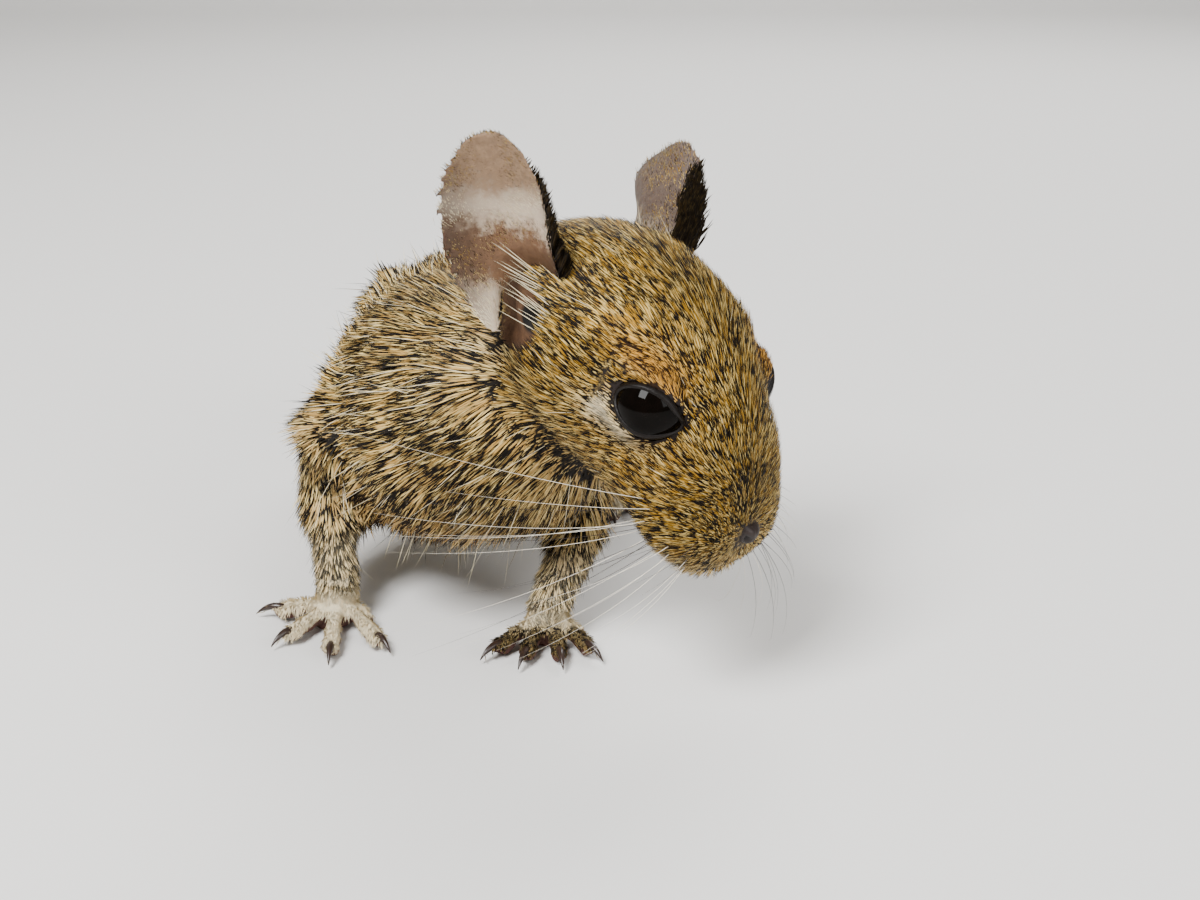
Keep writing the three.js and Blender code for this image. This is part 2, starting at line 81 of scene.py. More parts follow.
# Places on the head in millimetres: forward, outward, up
EYE_PLACE = (11.2, 7.3, 1.2)
EYE_LOOKS = (0.36, 0.9, 0.22)
EYE_CORNERS = (0.97, -0.25, 0.1)
EYE_RADIUS = 4.1
LID_HALF_LENGTH = 3.3
LID_HALF_HEIGHT = 2.25
NOSE_PLACE = (25.3, 0.0, -6.6)
MOUTH_LINE = ((16.6, 9.4, -11.6), (20.5, 8.4, -11.9), (23.6, 6.0, -11.6), (25.2, 0.0, -11.0))
EAR_LOBE = (-3.4, 12.3, -1.8)
EAR_RISES = (-0.58, 0.14, 0.8)
EAR_FACES = (0.38, 0.9, 0.12)
EAR_LENGTH = 22.0
EAR_CANAL = (-5.2, 9.8, -0.7)

# Toes in millimetres from the point on the floor under the head: root x, y and end x, y
FORE_TOES = {
    "left": (((-10.6, 2.0), (-14.2, -2.0)), ((-9.4, 1.2), (-10.8, -3.8)),
             ((-7.6, 1.2), (-6.8, -3.8)), ((-6.4, 2.0), (-3.4, -2.2))),
    "right": (((-35.6, 7.8), (-41.0, 8.2)), ((-34.8, 6.2), (-38.6, 1.4)),
              ((-33.4, 5.6), (-33.0, -2.6)), ((-31.8, 6.4), (-27.6, 0.0))),
}
TRUNK_MIDDLE = -17.2
HIND_TOES = (((13.8, 47.0), (12.2, 40.4)), ((15.0, 45.6), (14.4, 38.0)),
             ((16.4, 45.6), (16.8, 38.0)), ((17.8, 47.0), (19.2, 40.6)))
TAIL_END = ((-9.6, 109.0, 2.1), (-4.0, 122.5, 2.0), (0.4, 131.5, 2.0), (1.4, 133.4, 2.0))
TAIL_END_RADIUS = (1.7, 1.4, 1.0, 0.4)

# Even meshes in millimetres: the size of their cells, and how far the body is swollen to close its seams
BODY_CELL = 0.46
BODY_SWELL = 0.27
FOOT_CELL = 0.26
EAR_CELL = 0.28
EAR_SWELL = 0.05
SOCKET_RADIUS = 3.4

# Claws and whiskers in millimetres
CLAW_LENGTH = 3.3
CLAW_LIFT = 1.05
CLAW_RADIUS = 0.52
WHISKER_ROWS = 5
WHISKER_COLUMNS = 5
WHISKER_RADIUS = 0.04
# How far past the solids' box a whisker may reach, across and along, about 3 per cent of its sides
WHISKER_PAST_BOX = (2.0, 4.2)

# Hairs that stand out of the coat, and those of one ear's dark front and of its opening
GUARD_HAIRS = 2600
EAR_STRIP_HAIRS = 1500
EAR_OPENING_HAIRS = 24

# The camera: its focal length in pixels of an image of this width, and its place from the head's middle
IMAGE_WIDTH = 1200
FOCAL_PIXELS = 1733
SENSOR_WIDTH = 36
CAMERA_DOWN = math.radians(20)
CAMERA_FROM_HEAD = (-2.3, -180.2, 52.1)

# Each lamp's name, its place in metres from the head, its width in metres and its power in watts
LAMPS = (
    ("key", (-0.24, -0.3, 0.5), 0.26, 8.5),
    ("fill", (0.5, -0.35, 0.3), 0.4, 3.2),
    ("back", (0.15, 0.5, 0.45), 0.4, 4.0),
)

SKIN_NODES = [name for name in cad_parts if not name.startswith(("eye", "ear"))]
SEED = 7


def unit(vectors):
    """Vectors of length one."""
    vectors = np.asarray(vectors, float)
    size = np.linalg.norm(vectors, axis=-1, keepdims=True)
    return vectors / np.maximum(size, 1e-12)


def head_directions():
    """Forward, out to the left, and up, as the head is held."""
    forward = np.array((math.sin(HEAD_YAW) * math.cos(HEAD_PITCH),
                        -math.cos(HEAD_YAW) * math.cos(HEAD_PITCH),
                        -math.sin(HEAD_PITCH)))
    level = np.array((math.cos(HEAD_YAW), math.sin(HEAD_YAW), 0.0))
    turn = np.array(Matrix.Rotation(HEAD_ROLL, 3, forward))
    out = turn @ level
    return np.array((forward, out, np.cross(forward, out)))


HEAD = head_directions()


def head_way(values, side=LEFT):
    """A direction or offset on the head, in world axes."""
    return np.array((values[0], values[1] * side, values[2])) @ HEAD


def eye_centre(side):
    """The middle of an eye's solid."""
    low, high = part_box("eye_left" if side == LEFT else "eye_right")
    return (np.array(low) + np.array(high)) / 2


EYES_MIDDLE = (eye_centre(LEFT) + eye_centre(RIGHT)) / 2
HEAD_CENTRE = EYES_MIDDLE - head_way((EYE_PLACE[0], 0, EYE_PLACE[2])) * MM
UNDER_HEAD = HEAD_CENTRE - np.array((0, 0, HEAD_HEIGHT * MM))


def head_point(values, side=LEFT):
    """A place on the head, in world metres."""
    return HEAD_CENTRE + head_way(values, side) * MM


def on_head(points):
    """Forward, left and up of each point, in millimetres from the head's middle."""
    return (points - HEAD_CENTRE) @ HEAD.T / MM


def spot(x, y, z):
    """A place given in millimetres from the floor under the head."""
    return UNDER_HEAD + np.array((x, y, z)) * MM


# How the coat grows on each part: depth, length, width and lift of the hair, and hairs per mm2
REGIONS = {
    "head": (1.0, 3.4, 0.12, 13, 26),
    "neck": (2.0, 5.8, 0.17, 16, 22),
    "torso": (2.1, 6.6, 0.19, 16, 14),
    "upper_arm": (1.3, 4.4, 0.18, 17, 20),
    "forearm": (0.7, 2.8, 0.15, 16, 20),
    "forefoot": (0.12, 1.1, 0.1, 14, 26),
    "thigh": (1.8, 7.0, 0.23, 18, 13),
    "shank": (0.9, 3.8, 0.18, 18, 15),
    "hindfoot": (0.15, 1.3, 0.11, 14, 18),
    "tail": (0.45, 2.0, 0.14, 16, 22),
    "brush": (0.0, 8.5, 0.16, 24, 26),
}
REGION_NAMES = list(REGIONS)
REGION_TABLE = np.array(list(REGIONS.values()))


def region_of(node):
    """The part of the coat that a frame node carries."""
    if node == "tail_tip":
        return "brush"
    for name in REGION_NAMES:
        if node.startswith(name):
            return name
    return "head"


def on_parts(labels, *names):
    """Which points belong to the named parts of the coat."""
    return np.isin(labels, [REGION_NAMES.index(name) for name in names])


# Mesh arrays


def node_arrays(name):
    """Points and triangles of a frame node, with shared points merged."""
    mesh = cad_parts[name].data
    points = np.empty(len(mesh.vertices) * 3)
    mesh.vertices.foreach_get("co", points)
    points = points.reshape(-1, 3)
    mesh.calc_loop_triangles()
    tris = np.empty(len(mesh.loop_triangles) * 3, int)
    mesh.loop_triangles.foreach_get("vertices", tris)
    _, first, back = np.unique(np.round(points / 1e-7), axis=0, return_index=True, return_inverse=True)
    tris = back.ravel()[tris].reshape(-1, 3)
    tris = tris[(tris[:, 0] != tris[:, 1]) & (tris[:, 1] != tris[:, 2]) & (tris[:, 2] != tris[:, 0])]
    return points[first], tris


def point_normals(points, tris):
    """The way that the surface faces at each point."""
    cross = np.cross(points[tris[:, 1]] - points[tris[:, 0]], points[tris[:, 2]] - points[tris[:, 0]])
    total = np.zeros_like(points)
    for corner in range(3):
        for axis in range(3):
            total[:, axis] += np.bincount(tris[:, corner], cross[:, axis], len(points))
    return unit(total)


def tube_arrays(path, radii, sides=16):
    """A closed tapering tube along a path."""
    path = np.asarray(path, float)
    along = unit(np.gradient(path, axis=0))
    side = unit(np.cross(along, (0, 0, 1)))
    top = np.cross(side, along)
    angle = np.linspace(0, 2 * math.pi, sides, endpoint=False)
    radii = np.asarray(radii, float)[:, None, None]
    rings = path[:, None] + radii * (
        side[:, None] * np.cos(angle)[None, :, None] + top[:, None] * np.sin(angle)[None, :, None])
    points = np.vstack((rings.reshape(-1, 3), path[:1], path[-1:]))
    count = len(path)
    tris = []
    for ring in range(count - 1):
        for s in range(sides):
            a = ring * sides + s
            b = ring * sides + (s + 1) % sides
            tris += [(a, a + sides, b + sides), (a, b + sides, b)]
    for s in range(sides):
        after = (s + 1) % sides
        tris.append((count * sides, s, after))
        tris.append((count * sides + 1, (count - 1) * sides + after, (count - 1) * sides + s))
    return points, np.array(tris)


def smooth_path(points, count):
    """A rounded line through a few points."""
    points = np.asarray(points, float)
    ends = np.vstack((2 * points[0] - points[1], points, 2 * points[-1] - points[-2]))
    places = np.linspace(0, len(points) - 1 - 1e-9, count)
    line = []
    for place in places:
        i = int(place)
        t = place - i
        a, b, c, d = ends[i:i + 4]
        line.append(0.5 * (2 * b + (c - a) * t + (2 * a - 5 * b + 4 * c - d) * t * t
                           + (3 * b - a - 3 * c + d) * t ** 3))
    return np.array(line)


def joined(pieces):
    """Several (points, triangles) as one."""
    points, tris, start = [], [], 0
    for part_points, part_tris in pieces:
        points.append(part_points)
        tris.append(part_tris + start)
        start += len(part_points)
    return np.vstack(points), np.vstack(tris)


def new_mesh(name, points, faces):
    """A mesh from arrays."""
    mesh = bpy.data.meshes.new(name)
    mesh.from_pydata(np.asarray(points).tolist(), [], np.asarray(faces).tolist())
    mesh.update()
    return mesh


def new_object(name, mesh, material, replaces=()):
    """A smooth piece that rides on the body."""
    piece = bpy.data.objects.new(name, mesh)
    bpy.context.scene.collection.objects.link(piece)
    mesh.materials.append(material)
    mesh.polygons.foreach_set("use_smooth", [True] * len(mesh.polygons))
    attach(piece, "root")
    if replaces:
        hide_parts(*replaces)
    return piece


def remeshed(solids, voxel, grow):
    """One closed even surface round several solids, as points and quads."""
    swollen = [(points + point_normals(points, tris) * grow, tris) for points, tris in solids]
    points, tris = joined(swollen)
    mesh = new_mesh("rough", points, tris)
    rough = bpy.data.objects.new("rough", mesh)
    bpy.context.scene.collection.objects.link(rough)
    change = rough.modifiers.new("even", "REMESH")
    change.mode = "VOXEL"
    change.voxel_size = voxel
    depsgraph = bpy.context.evaluated_depsgraph_get()
    even = bpy.data.meshes.new_from_object(rough.evaluated_get(depsgraph))
    points = np.empty(len(even.vertices) * 3)
    even.vertices.foreach_get("co", points)
    quads = np.empty(len(even.loops), int)
    even.loops.foreach_get("vertex_index", quads)
    bpy.data.objects.remove(rough)
    bpy.data.meshes.remove(mesh)
    bpy.data.meshes.remove(even)
    return points.reshape(-1, 3), quads.reshape(-1, 4)


def quad_tris(quads):
    """Two triangles for each quad."""
    return np.vstack((quads[:, (0, 1, 2)], quads[:, (0, 2, 3)]))


def quad_edges(quads):
    """Each pair of neighbouring points once."""
    pairs = np.vstack([quads[:, (i, (i + 1) % 4)] for i in range(4)])
    return np.unique(np.sort(pairs, axis=1), axis=0)


def smoothed(values, edges, rounds, share=0.5):
    """Each point's values drawn towards those of the points beside it."""
    values = np.array(values, float)
    flat = values.reshape(len(values), -1)
    count = np.maximum(np.bincount(edges.ravel(), minlength=len(flat)), 1)
    first, second = edges[:, 0], edges[:, 1]
    for _ in range(rounds):
        for column in range(flat.shape[1]):
            total = np.bincount(first, flat[second, column], len(flat))
            total += np.bincount(second, flat[first, column], len(flat))
            flat[:, column] += share * (total / count - flat[:, column])
    return flat.reshape(values.shape)


def ripple(points, size, seed):
    """Smooth seeded noise between about -1 and 1, with features about size across."""
    draw = np.random.default_rng(seed)
    total = np.zeros(len(points))
    for _ in range(7):
        wave = unit(draw.normal(size=3)) * 2 * math.pi / size * draw.uniform(0.6, 1.5)
        total += np.sin(points @ wave + draw.uniform(0, 2 * math.pi))
    return total / 2.6


def bump_at(points, place, reach):
    """One at a place on the head, falling to nothing beyond its reach, on both sides."""
    local = on_head(points)
    local[:, 1] = np.abs(local[:, 1])
    return np.exp(-np.sum(((local - np.array(place)) / np.array(reach)) ** 2, axis=1))


# Skin


def tail_core():
    """The flesh of the tail's end, inside the brush."""
    path = smooth_path([spot(*p) for p in TAIL_END], 24)
    radii = np.interp(np.linspace(0, 3, 24), range(4), TAIL_END_RADIUS) * MM
    return tube_arrays(path, radii)


def nearest_regions(points):
    """The region of the coat that each point of the skin belongs to."""
    draw = np.random.default_rng(SEED)
    places, labels = [], []
    for name in SKIN_NODES:
        node_points, tris = node_arrays(name)
        corner = node_points[tris]
        area = np.linalg.norm(np.cross(corner[:, 1] - corner[:, 0], corner[:, 2] - corner[:, 0]), axis=1)
        picks = draw.choice(len(tris), int(area.sum() / 2 / 1e-6) + 200, p=area / area.sum())
        weight = draw.dirichlet((1, 1, 1), len(picks))
        places.append(np.einsum("ij,ijk->ik", weight, corner[picks]))
        labels.append(np.full(len(picks), REGION_NAMES.index(region_of(name))))
    places = np.vstack(places)
    labels = np.concatenate(labels)
    tree = KDTree(len(places))
    for i, place in enumerate(places):
        tree.insert(place, i)
    tree.balance()
    return np.array([labels[tree.find(p)[1]] for p in points])


def eye_frame(side):
    """The way an eye looks, towards its front corner, and across its lids."""
    looks = unit(head_way(EYE_LOOKS, side))
    corner = head_way(EYE_CORNERS, side)
    corner = unit(corner - looks * (corner @ looks))
    return looks, corner, np.cross(looks, corner)


def lid_reach(angle):
    """Millimetres from the middle of the lids' opening to its edge; the front corner is at 0."""
    angle = np.abs(np.arctan2(np.sin(angle), np.cos(angle)))
    oval = 1 / np.hypot(np.cos(angle) / LID_HALF_LENGTH, np.sin(angle) / LID_HALF_HEIGHT)
    return oval + 0.65 * np.exp(-(angle / 0.3) ** 2) + 0.25 * np.exp(-((angle - math.pi) / 0.35) ** 2)


def opening_distance(points, side):
    """How far out from the lids' opening each point is: 1 on its edge. Also its distance."""
    looks, corner, across = eye_frame(side)
    away = points - eye_centre(side)
    distance = np.linalg.norm(away, axis=1)
    x, y = away @ corner / MM, away @ across / MM
    share = np.hypot(x, y) / lid_reach(np.arctan2(y, x))
    share[away @ looks < 0] = 9
    return share, distance, away


def set_eyes(points):
    """Sinks the skin inside each lid opening, and holds it off the eye elsewhere."""
    for side in SIDES.values():
        share, distance, away = opening_distance(points, side)
        near = distance < 6.5 * MM
        inside = near & (share < 1.12)
        points[inside] += (away / distance[:, None] * (SOCKET_RADIUS * MM - distance)[:, None])[inside]
        rim = near & (share >= 1.12) & (share < 9)
        low = (EYE_RADIUS + 0.12) * MM
        held = np.clip(distance, low, low + np.clip(share - 1.2, 0, None) * 1.9 * MM)
        points[rim] += (away / distance[:, None] * (held - distance)[:, None])[rim]
    return points


def ear_hollow(points):
    """One on the bare skin of the head inside each ear's cup, falling to nothing round it."""
    inside = np.zeros(len(points))
    for side in SIDES.values():
        rises, faces, front, lobe = ear_frame(side)
        local = (points - lobe) / MM
        reach = np.hypot((local @ front + 0.1) / 4.7, (local @ rises - 1.5) / 4.8)
        share = np.clip((1.2 - reach) / 0.45, 0, 1) * np.clip((local @ faces + 8) / 1.0, 0, 1)
        inside = np.maximum(inside, share * (local @ faces < 6))
    return inside


def mouth_groove(points, normals):
    """Presses the line of the mouth into the skin."""
    line = smooth_path(MOUTH_LINE, 24)
    local = on_head(points)
    local[:, 1] = np.abs(local[:, 1])
    near = np.flatnonzero((local[:, 0] > 14) & (local[:, 2] < -8))
    gaps = np.linalg.norm(local[near, None] - line[None], axis=2).min(axis=1)
    points[near] -= normals[near] * (0.7 * MM * np.exp(-(gaps / 0.5) ** 2))[:, None]
    return points


def head_forms(points, normals):
    """The forms of the face that show through its short coat."""
    forms = (
        ((9.5, 8.2, 7.0), (4.5, 2.6, 1.8), 0.55),
        ((15.0, 9.6, -1.5), (4.0, 3.0, 2.4), -0.35),
        ((21.5, 6.5, -8.5), (3.4, 3.4, 3.0), 0.5),
        ((18.5, 0.0, 4.0), (5.0, 2.0, 3.0), 0.25),
        ((3.0, 12.0, -6.0), (6.0, 4.0, 4.5), 0.4),
        ((22.0, 0.0, -13.4), (3.0, 2.6, 1.6), 0.4),
        (EAR_CANAL, (1.4, 3.0, 1.4), -1.6),
    )
    push = sum(bump_at(points, place, reach) * height for place, reach, height in forms)
    push -= 1.5 * ear_hollow(points) ** 2
    return points + normals * (push * MM)[:, None]


def body_skin():
    """The skin of head, trunk, limbs and tail, with the part of the coat that each point carries."""
    solids = [node_arrays(name) for name in SKIN_NODES
              if not name.startswith(("forefoot", "hindfoot", "tail_tip"))]
    solids += [node_arrays(name) for name in ("eye_left", "eye_right")]
    solids.append(tail_core())
    points, quads = remeshed(solids, BODY_CELL * MM, BODY_SWELL * MM)
    edges = quad_edges(quads)
    labels = nearest_regions(points)
    depth = REGION_TABLE[labels, 0] + BODY_SWELL
    depth -= 0.55 * bump_at(points, (24.5, 0, -9), (4, 8, 6)) * on_parts(labels, "head")
    depth = smoothed(depth, edges, 30)
    points = smoothed(points, edges, 3)
    normals = point_normals(points, quad_tris(quads))
    points = points - normals * (depth * MM)[:, None]
    points = smoothed(points, edges, 4)
    normals = point_normals(points, quad_tris(quads))
    points = head_forms(points, normals)
    points = mouth_groove(points, point_normals(points, quad_tris(quads)))
    swell = ripple(points, 11 * MM, 3) * 0.28 + ripple(points, 5 * MM, 4) * 0.1
    swell *= on_parts(labels, "torso", "neck", "thigh")
    points = points + normals * (smoothed(swell, edges, 10) * MM)[:, None]
    points[:, 2] = np.maximum(points[:, 2], 0.0)
    return set_eyes(points), quads, labels


def foot_skin(node):
    """The skin of one foot, drawn in where its claws sit."""
    points, quads = remeshed([node_arrays(node)], FOOT_CELL * MM, 0.0)
    edges = quad_edges(quads)
    points = smoothed(points, edges, 2)
    normals = point_normals(points, quad_tris(quads))
    knuckles = ripple(points, 1.7 * MM, 8) * 0.1
    points = points + normals * ((knuckles - 0.06) * MM)[:, None]
    for root, end in toe_lines():
        points = tuck_claw(points, root, end)
    points[:, 2] = np.maximum(points[:, 2], 0.0)
    labels = np.full(len(points), REGION_NAMES.index(region_of(node)))
    return points, quads, labels


def toe_lines():
    """Root and end of each toe that carries a claw, in millimetres from under the head."""
    lines = [toe for toes in FORE_TOES.values() for toe in toes]
    for side in SIDES.values():
        for root, end in HIND_TOES:
            lines.append(((TRUNK_MIDDLE + root[0] * side, root[1]), (TRUNK_MIDDLE + end[0] * side, end[1])))
    return lines


def tuck_claw(points, root, end):
    """Draws the skin beyond a toe's end in, so that the claw covers it."""
    way = unit(np.subtract(end, root))
    side_way = np.array((-way[1], way[0]))
    local = (points - UNDER_HEAD) / MM
    along = (local[:, :2] - end) @ way
    across = (local[:, :2] - end) @ side_way
    near = (along > 0.35) & (along < 4) & (np.abs(across) < 1.3)
    centre = np.clip(1.35 - 0.28 * along, 0.4, None)
    keep = 1 - 0.85 * np.clip((along[near] - 0.35) / 0.5, 0, 1)
    local[near, 2] = centre[near] + (local[near, 2] - centre[near]) * keep
    local[near, :2] -= side_way * (across[near] * (1 - keep))[:, None]
    local[near, :2] -= way * (np.clip(along[near] - 1.6, 0, None))[:, None]
    return UNDER_HEAD + local * MM


def build_skin():
    """Body and feet as one surface, with the numbers that its coat and colours need."""
    parts = [body_skin()]
    for part in ("forefoot", "hindfoot"):
        parts += [foot_skin(f"{part}_{side}") for side in SIDES]
    points, quads = joined([part[:2] for part in parts])
    labels = np.concatenate([part[2] for part in parts])
    return {"points": points, "quads": quads, "labels": labels, "edges": quad_edges(quads)}


def part_way(vectors):
    """One direction of length one."""
    return unit(np.array(vectors, float))


TRUNK_FLOW = {
    "neck": part_way((-0.6, 0.6, -0.5)),
    "torso": part_way((0.0, 1.0, -0.16)),
    "upper_arm": part_way((0.0, 0.15, -1.0)),
    "forearm": part_way((0.0, -0.25, -1.0)),
    "forefoot": part_way((0.0, -1.0, -0.1)),
    "thigh": part_way((0.0, 0.85, -0.6)),
    "shank": part_way((0.0, 0.6, -0.7)),
    "hindfoot": part_way((0.0, -1.0, -0.05)),
    "tail": part_way((0.15, 1.0, -0.05)),
    "brush": part_way((0.4, 1.0, 0.0)),
}


def flow_field(skin, normals):
    """Which way the coat lies at each point, along the skin."""
    points, labels = skin["points"], skin["labels"]
    flow = np.zeros_like(points)
    for name, way in TRUNK_FLOW.items():
        flow[on_parts(labels, name)] = way
    torso = on_parts(labels, "torso")
    front = np.clip((34 - (points - UNDER_HEAD)[torso, 1:2] / MM) / 34, 0, 1)
    flow[torso] = TRUNK_FLOW["torso"] * (1 - front) + part_way((-0.5, 0.5, -0.65)) * front
    head = on_parts(labels, "head")
    from_nose = points[head] - head_point(NOSE_PLACE)
    near = np.exp(-(np.linalg.norm(from_nose, axis=1) / (8 * MM)) ** 2)[:, None]
    local = on_head(points[head])
    down = np.clip(-local[:, 2] / 14, 0, 1)[:, None] * 0.35
    outward = np.sign(local[:, 1:2]) * 0.12
    back = -HEAD[0] - HEAD[2] * down + HEAD[1] * outward
    flow[head] = unit(from_nose) * near + back * (1 - near)
    belly = torso & (normals[:, 2] < -0.6)
    flow[belly] = part_way((0.0, 1.0, 0.0))
    flow = smoothed(flow, skin["edges"], 24)
    flow -= normals * np.sum(flow * normals, axis=1, keepdims=True)
    return unit(flow)


def markings(points, normals, labels):
    """Cream, orange and dark shares of the coat: the same for skin and hair."""
    body = points - UNDER_HEAD
    height = body[:, 2] / MM
    head = on_parts(labels, "head")
    cream = 0.82 * bump_at(points, (11.4, 10.6, -1.7), (3.4, 4, 1.0))
    cream += 0.7 * bump_at(points, (8.7, 10.6, -0.6), (1.0, 4, 1.5))
    cream += 0.6 * bump_at(points, (-5.5, 12.5, -3.5), (3.4, 5, 3.2))
    cream += 0.35 * bump_at(points, (21, 5, -14), (7, 7, 1.6))
    orange = 0.9 * bump_at(points, (9.8, 8.6, 5.5), (3.4, 3.5, 1.5))
    orange += 0.7 * bump_at(points, (13.4, 8.2, 4.4), (1.7, 3, 1.4))
    orange += 0.15 * bump_at(points, (16, 8, -3), (5, 5, 4))
    dark = 0.55 * bump_at(points, (9, 0, 10), (12, 2.4, 5))
    dark += 0.4 * bump_at(points, (23.5, 0, -3), (4, 2.6, 4))
    dark += 0.6 * bump_at(points, (6.6, 10.8, 3.0), (1.9, 4, 1.1))
    dark += 0.35 * bump_at(points, (12.5, 9.5, 4.6), (2.6, 2.5, 1.0))
    dark += 0.32 * bump_at(points, (22, 0, -6), (6, 8, 7))
    under = np.clip((-normals[:, 2] - 0.1) / 0.7, 0, 1)
    trunk = on_parts(labels, "torso", "neck", "thigh", "upper_arm")
    flank = np.exp(-((height - 11) / 5.5) ** 2)
    front = np.clip((30 - body[:, 1] / MM) / 20, 0, 1)
    orange += trunk * 0.75 * flank * (0.35 + 0.65 * front) * ~on_parts(labels, "upper_arm")
    cream += trunk * (0.12 + under ** 2 * 0.6 * (1 - 0.8 * front)) + head * under * 0.2
    dark += trunk * 0.3 * np.clip((normals[:, 2] - 0.8) / 0.2, 0, 1)
    for name, share in (("upper_arm", 0.1), ("forearm", 0.5), ("forefoot", 0.8), ("hindfoot", 0.75),
                        ("shank", 0.4)):
        cream[on_parts(labels, name)] += share
    left_foot = on_parts(labels, "forefoot") & (body[:, 0] > -20 * MM)
    toes = left_foot * np.clip((1.6 - body[:, 1] / MM) / 2, 0, 1)
    dark += toes * 0.9
    cream -= toes * 0.6
    dark[on_parts(labels, "tail")] += 0.35
    dark[on_parts(labels, "brush")] = 1.0
    return np.clip(np.stack((cream, orange, dark), axis=1), 0, 1)


def coat_fields(skin):
    """Adds the flow, the hair's sizes and the markings to the skin's arrays."""
    points, labels, edges = skin["points"], skin["labels"], skin["edges"]
    normals = point_normals(points, quad_tris(skin["quads"]))
    sizes = REGION_TABLE[labels][:, 1:]
    head = on_parts(labels, "head")
    face = bump_at(points, (25, 0, -7.5), (11, 9, 9)) * head
    cheek = bump_at(points, (0, 12, -6), (8, 8, 9)) * head
    sizes[:, 0] *= 1 - 0.62 * face + 0.25 * cheek
    sizes[:, 1] *= 1 - 0.3 * face
    sizes[:, 3] *= 1 + 0.6 * face
    body = (points - UNDER_HEAD) / MM
    trunk = on_parts(labels, "torso", "neck")
    chest = trunk * np.clip((20 - body[:, 1]) / 14, 0, 1) * np.clip((24 - body[:, 2]) / 10, 0, 1)
    under = np.clip(-normals[:, 2], 0, 1) * on_parts(labels, "torso") * (1 - chest)
    sizes[:, 0] *= (1 - 0.35 * under) * (1 + 0.45 * chest)
    sizes[:, 2] *= 1 + 0.9 * chest
    sizes = smoothed(sizes, edges, 14)
    bare = np.zeros(len(points))
    for side in SIDES.values():
        share, distance, _ = opening_distance(points, side)
        bare = np.maximum(bare, (distance < 5.6 * MM) * np.clip((1.19 - share) / 0.06, 0, 1))
        close = np.exp(-((distance - EYE_RADIUS * MM) / (3 * MM)) ** 2)
        sizes[:, 0] *= 1 - 0.45 * close * (distance < 9 * MM)
    bare = np.maximum(bare, bump_at(points, NOSE_PLACE, (1.6, 1.9, 1.2)) > 0.4)
    bare = np.maximum(bare, ear_hollow(points) > 0.45)
    sizes[:, 3] *= 1 - bare
    low = on_parts(labels, "forefoot", "hindfoot") * np.clip((2.6 * MM - points[:, 2]) / (0.6 * MM), 0, 1)
    pads = low * np.clip((0.35 - normals[:, 2]) / 0.3, 0, 1)
    sizes[:, 3] *= 1 - pads
    skin["pads"] = pads
    sizes[points[:, 2] < 0.25 * MM, 3] = 0
    skin.update(normals=normals, flow=flow_field(skin, normals), sizes=sizes,
                marks=smoothed(markings(points, normals, labels), edges, 6))
    return skin


# Coat


def bare_parts(skin):
    """Dark skin of nose and lids, the feet's pads, and the ears' hollows with painted shade in their
    canals.
    """
    points = skin["points"]
    hollow = np.clip((ear_hollow(points) - 0.35) / 0.15, 0, 1)
    # The canal's bump lifts this value past one, and there the skin shader paints the canal's shade.
    hollow += np.clip(bump_at(points, EAR_CANAL, (1.5, 5, 1.25)) * 1.6, 0, 1)
    face = np.clip(bump_at(points, NOSE_PLACE, (1.6, 2.2, 1.4)) * 1.4, 0, 1)
    for side in SIDES.values():
        share, distance, _ = opening_distance(points, side)
        face = np.maximum(face, (share < 1.6) & (distance < 6 * MM))
    return np.stack((face, skin["pads"], hollow), axis=1)


def unwrap(piece):
    """Unwraps the skin's own shape into a map named OFBake."""
    piece.data.uv_layers.new(name="OFBake")
    bpy.context.view_layer.objects.active = piece
    for other in bpy.context.selected_objects:
        other.select_set(False)
    piece.select_set(True)
    bpy.ops.object.mode_set(mode="EDIT")
    bpy.ops.mesh.select_all(action="SELECT")
    bpy.ops.uv.smart_project(angle_limit=math.radians(66), island_margin=0.001)
    bpy.ops.object.mode_set(mode="OBJECT")


def corner_uvs(mesh):
    """Triangles of a mesh and the map's place of each corner."""
    mesh.calc_loop_triangles()
    count = len(mesh.loop_triangles)
    tris = np.empty(count * 3, int)
    loops = np.empty(count * 3, int)
    mesh.loop_triangles.foreach_get("vertices", tris)
    mesh.loop_triangles.foreach_get("loops", loops)
    uvs = np.empty(len(mesh.loops) * 2)
    mesh.uv_layers["OFBake"].data.foreach_get("uv", uvs)
    return tris.reshape(-1, 3), uvs.reshape(-1, 2)[loops].reshape(-1, 3, 2)


def scatter(mesh, fields, density, count, draw):
    """Random roots over a mesh, each with the fields blended between its three corners."""
    tris, uvs = corner_uvs(mesh)
    corner = fields["points"][tris]
    area = np.linalg.norm(np.cross(corner[:, 1] - corner[:, 0], corner[:, 2] - corner[:, 0]), axis=1)
    weight = area * density[tris].mean(axis=1)
    picks = draw.choice(len(tris), count, p=weight / weight.sum())
    share = draw.dirichlet((1, 1, 1), count)
    roots = {}
    for name in ("points", "normals", "flow", "sizes", "marks"):
        roots[name] = np.einsum("ij,ijk->ik", share, fields[name][tris[picks]])
    roots["uv"] = np.einsum("ij,ijk->ik", share, uvs[picks])
    roots["normals"] = unit(roots["normals"])
    roots["flow"] = unit(roots["flow"])
    return roots


